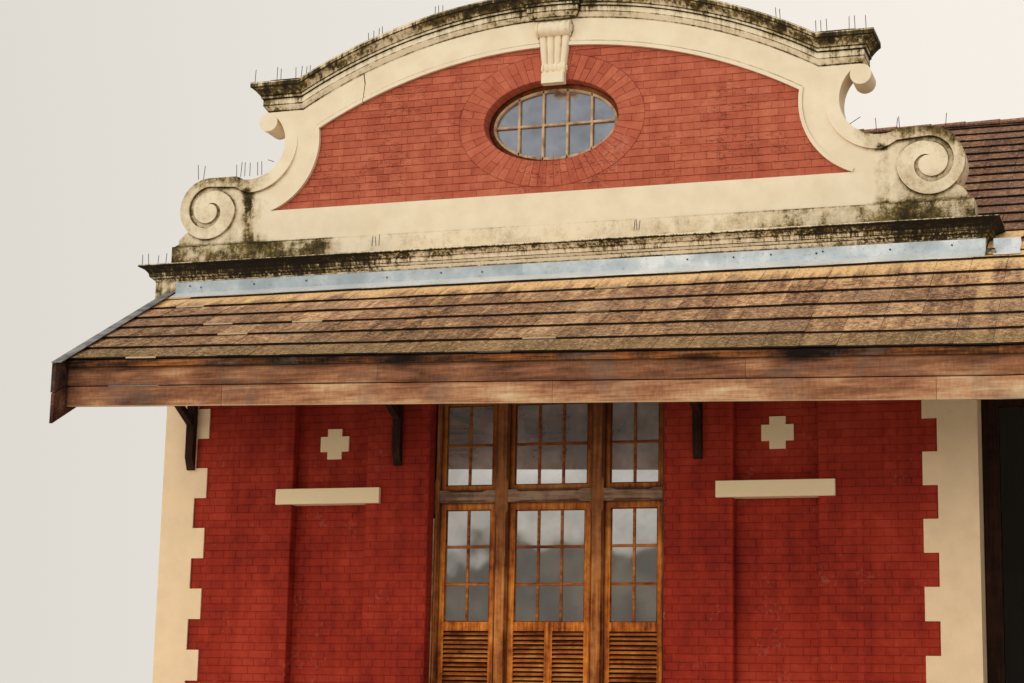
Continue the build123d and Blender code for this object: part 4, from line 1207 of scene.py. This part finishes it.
def on_deck(plan, low, high):
    """Prism that lies on the canopy, between two heights over its deck."""
    shell = Shell()
    shell.prism(*([(x, y, deck_top(x, y) + z) for x, y in plan] for z in (low, high)))
    return shell


scrap = Shell()
for z0, z1, y, wide in ((0.012, 0.018, -0.30, 0.13), (0.018, 0.115, -0.185, 0.006)):
    plan = [(4.215, y), (4.455, y), (4.44, y + wide), (4.225, y + wide)]
    part = on_deck(plan, z0, z1)
    scrap.add(part.verts, part.faces)
scrap.build("sheet_scrap", m_zinc, "zinc")
crumb = on_deck([(4.15, -0.285), (4.245, -0.275), (4.225, -0.185), (4.155, -0.19)], 0.002, 0.030)
crumb.build("render_crumb", m_frieze, "render")
strip = Shell()
strip.box(-door_half + 0.003, -door_half + 0.016, frame_y - 0.014, frame_y, floor_t + 0.004, 2.18, cut=0.003)
strip.build("reveal_strip", m_strip, "window_paint")


# Stage, light and camera
bpy.ops.mesh.primitive_plane_add(size=160, location=(2, 0, 0))
ground = bpy.context.object
ground.name = "ground"
g = Graph("pale_ground")
pale = g.ramp(g.noise(0.5), [(0.3, (214, 209, 200)), (0.7, (222, 217, 208))])
ground.data.materials.append(g.finish(pale, 0.9))

sky = Graph("sky", world=True)
bpy.context.scene.world = sky.home


def background(colour, strength=1.0):
    return sky.node("Background", {0: colour, 1: strength})


# What glass mirrors: dark ground, a plain skyline, a bright horizon and a grey sky over it
height = sky.add(sky.mul(sky.noise(16.0, 4.0, 0.5), 0.09), sky.axis(2))
mirrored = sky.ramp(height, [(0.0, (0.10, 0.09, 0.08, 1.0)), (0.126, (0.14, 0.13, 0.115, 1.0)),
                             (0.130, (0.62, 0.60, 0.56, 1.0)), (0.165, (0.64, 0.62, 0.59, 1.0)),
                             (0.185, (0.98, 0.95, 0.91, 1.0)), (0.32, (0.30, 0.33, 0.38, 1.0)),
                             (0.60, (0.20, 0.23, 0.29, 1.0))])

# Seen sky: a little darker on the left
seen = sky.mix(sky.remap(sky.axis(0), -0.55, -0.10), (222, 218, 210), (246, 239, 230))
lit = sky.blend(sky.node("LightPath", out="Is Glossy Ray"), background((1.0, 0.985, 0.955, 1.0), 0.78),
                background(mirrored))
sky.surface(sky.blend(sky.node("LightPath", out="Is Camera Ray"), lit, background(seen)))

sun_data = bpy.data.lights.new("soft_front", "SUN")
sun_data.energy = 1.15
sun_data.angle = radians(60)
sun_data.color = (1.0, 0.97, 0.92)
sun = bpy.data.objects.new("soft_front", sun_data)
sun.rotation_euler = Vector((0.45, 1.0, -0.36)).to_track_quat("-Z", "Y").to_euler()
sun.visible_glossy = False
bpy.context.collection.objects.link(sun)

cam_data = bpy.data.cameras.new("camera")
cam_data.lens = lens
cam_data.sensor_width = 36.0
cam_data.clip_end = 500
camera = bpy.data.objects.new("camera", cam_data)
turned = Matrix((cam_right, cam_up, cam_right.cross(cam_up))).transposed()
camera.matrix_world = Matrix.Translation(eye) @ turned.to_4x4()
bpy.context.collection.objects.link(camera)
bpy.context.scene.camera = camera
bpy.context.scene.view_settings.view_transform = "Standard"
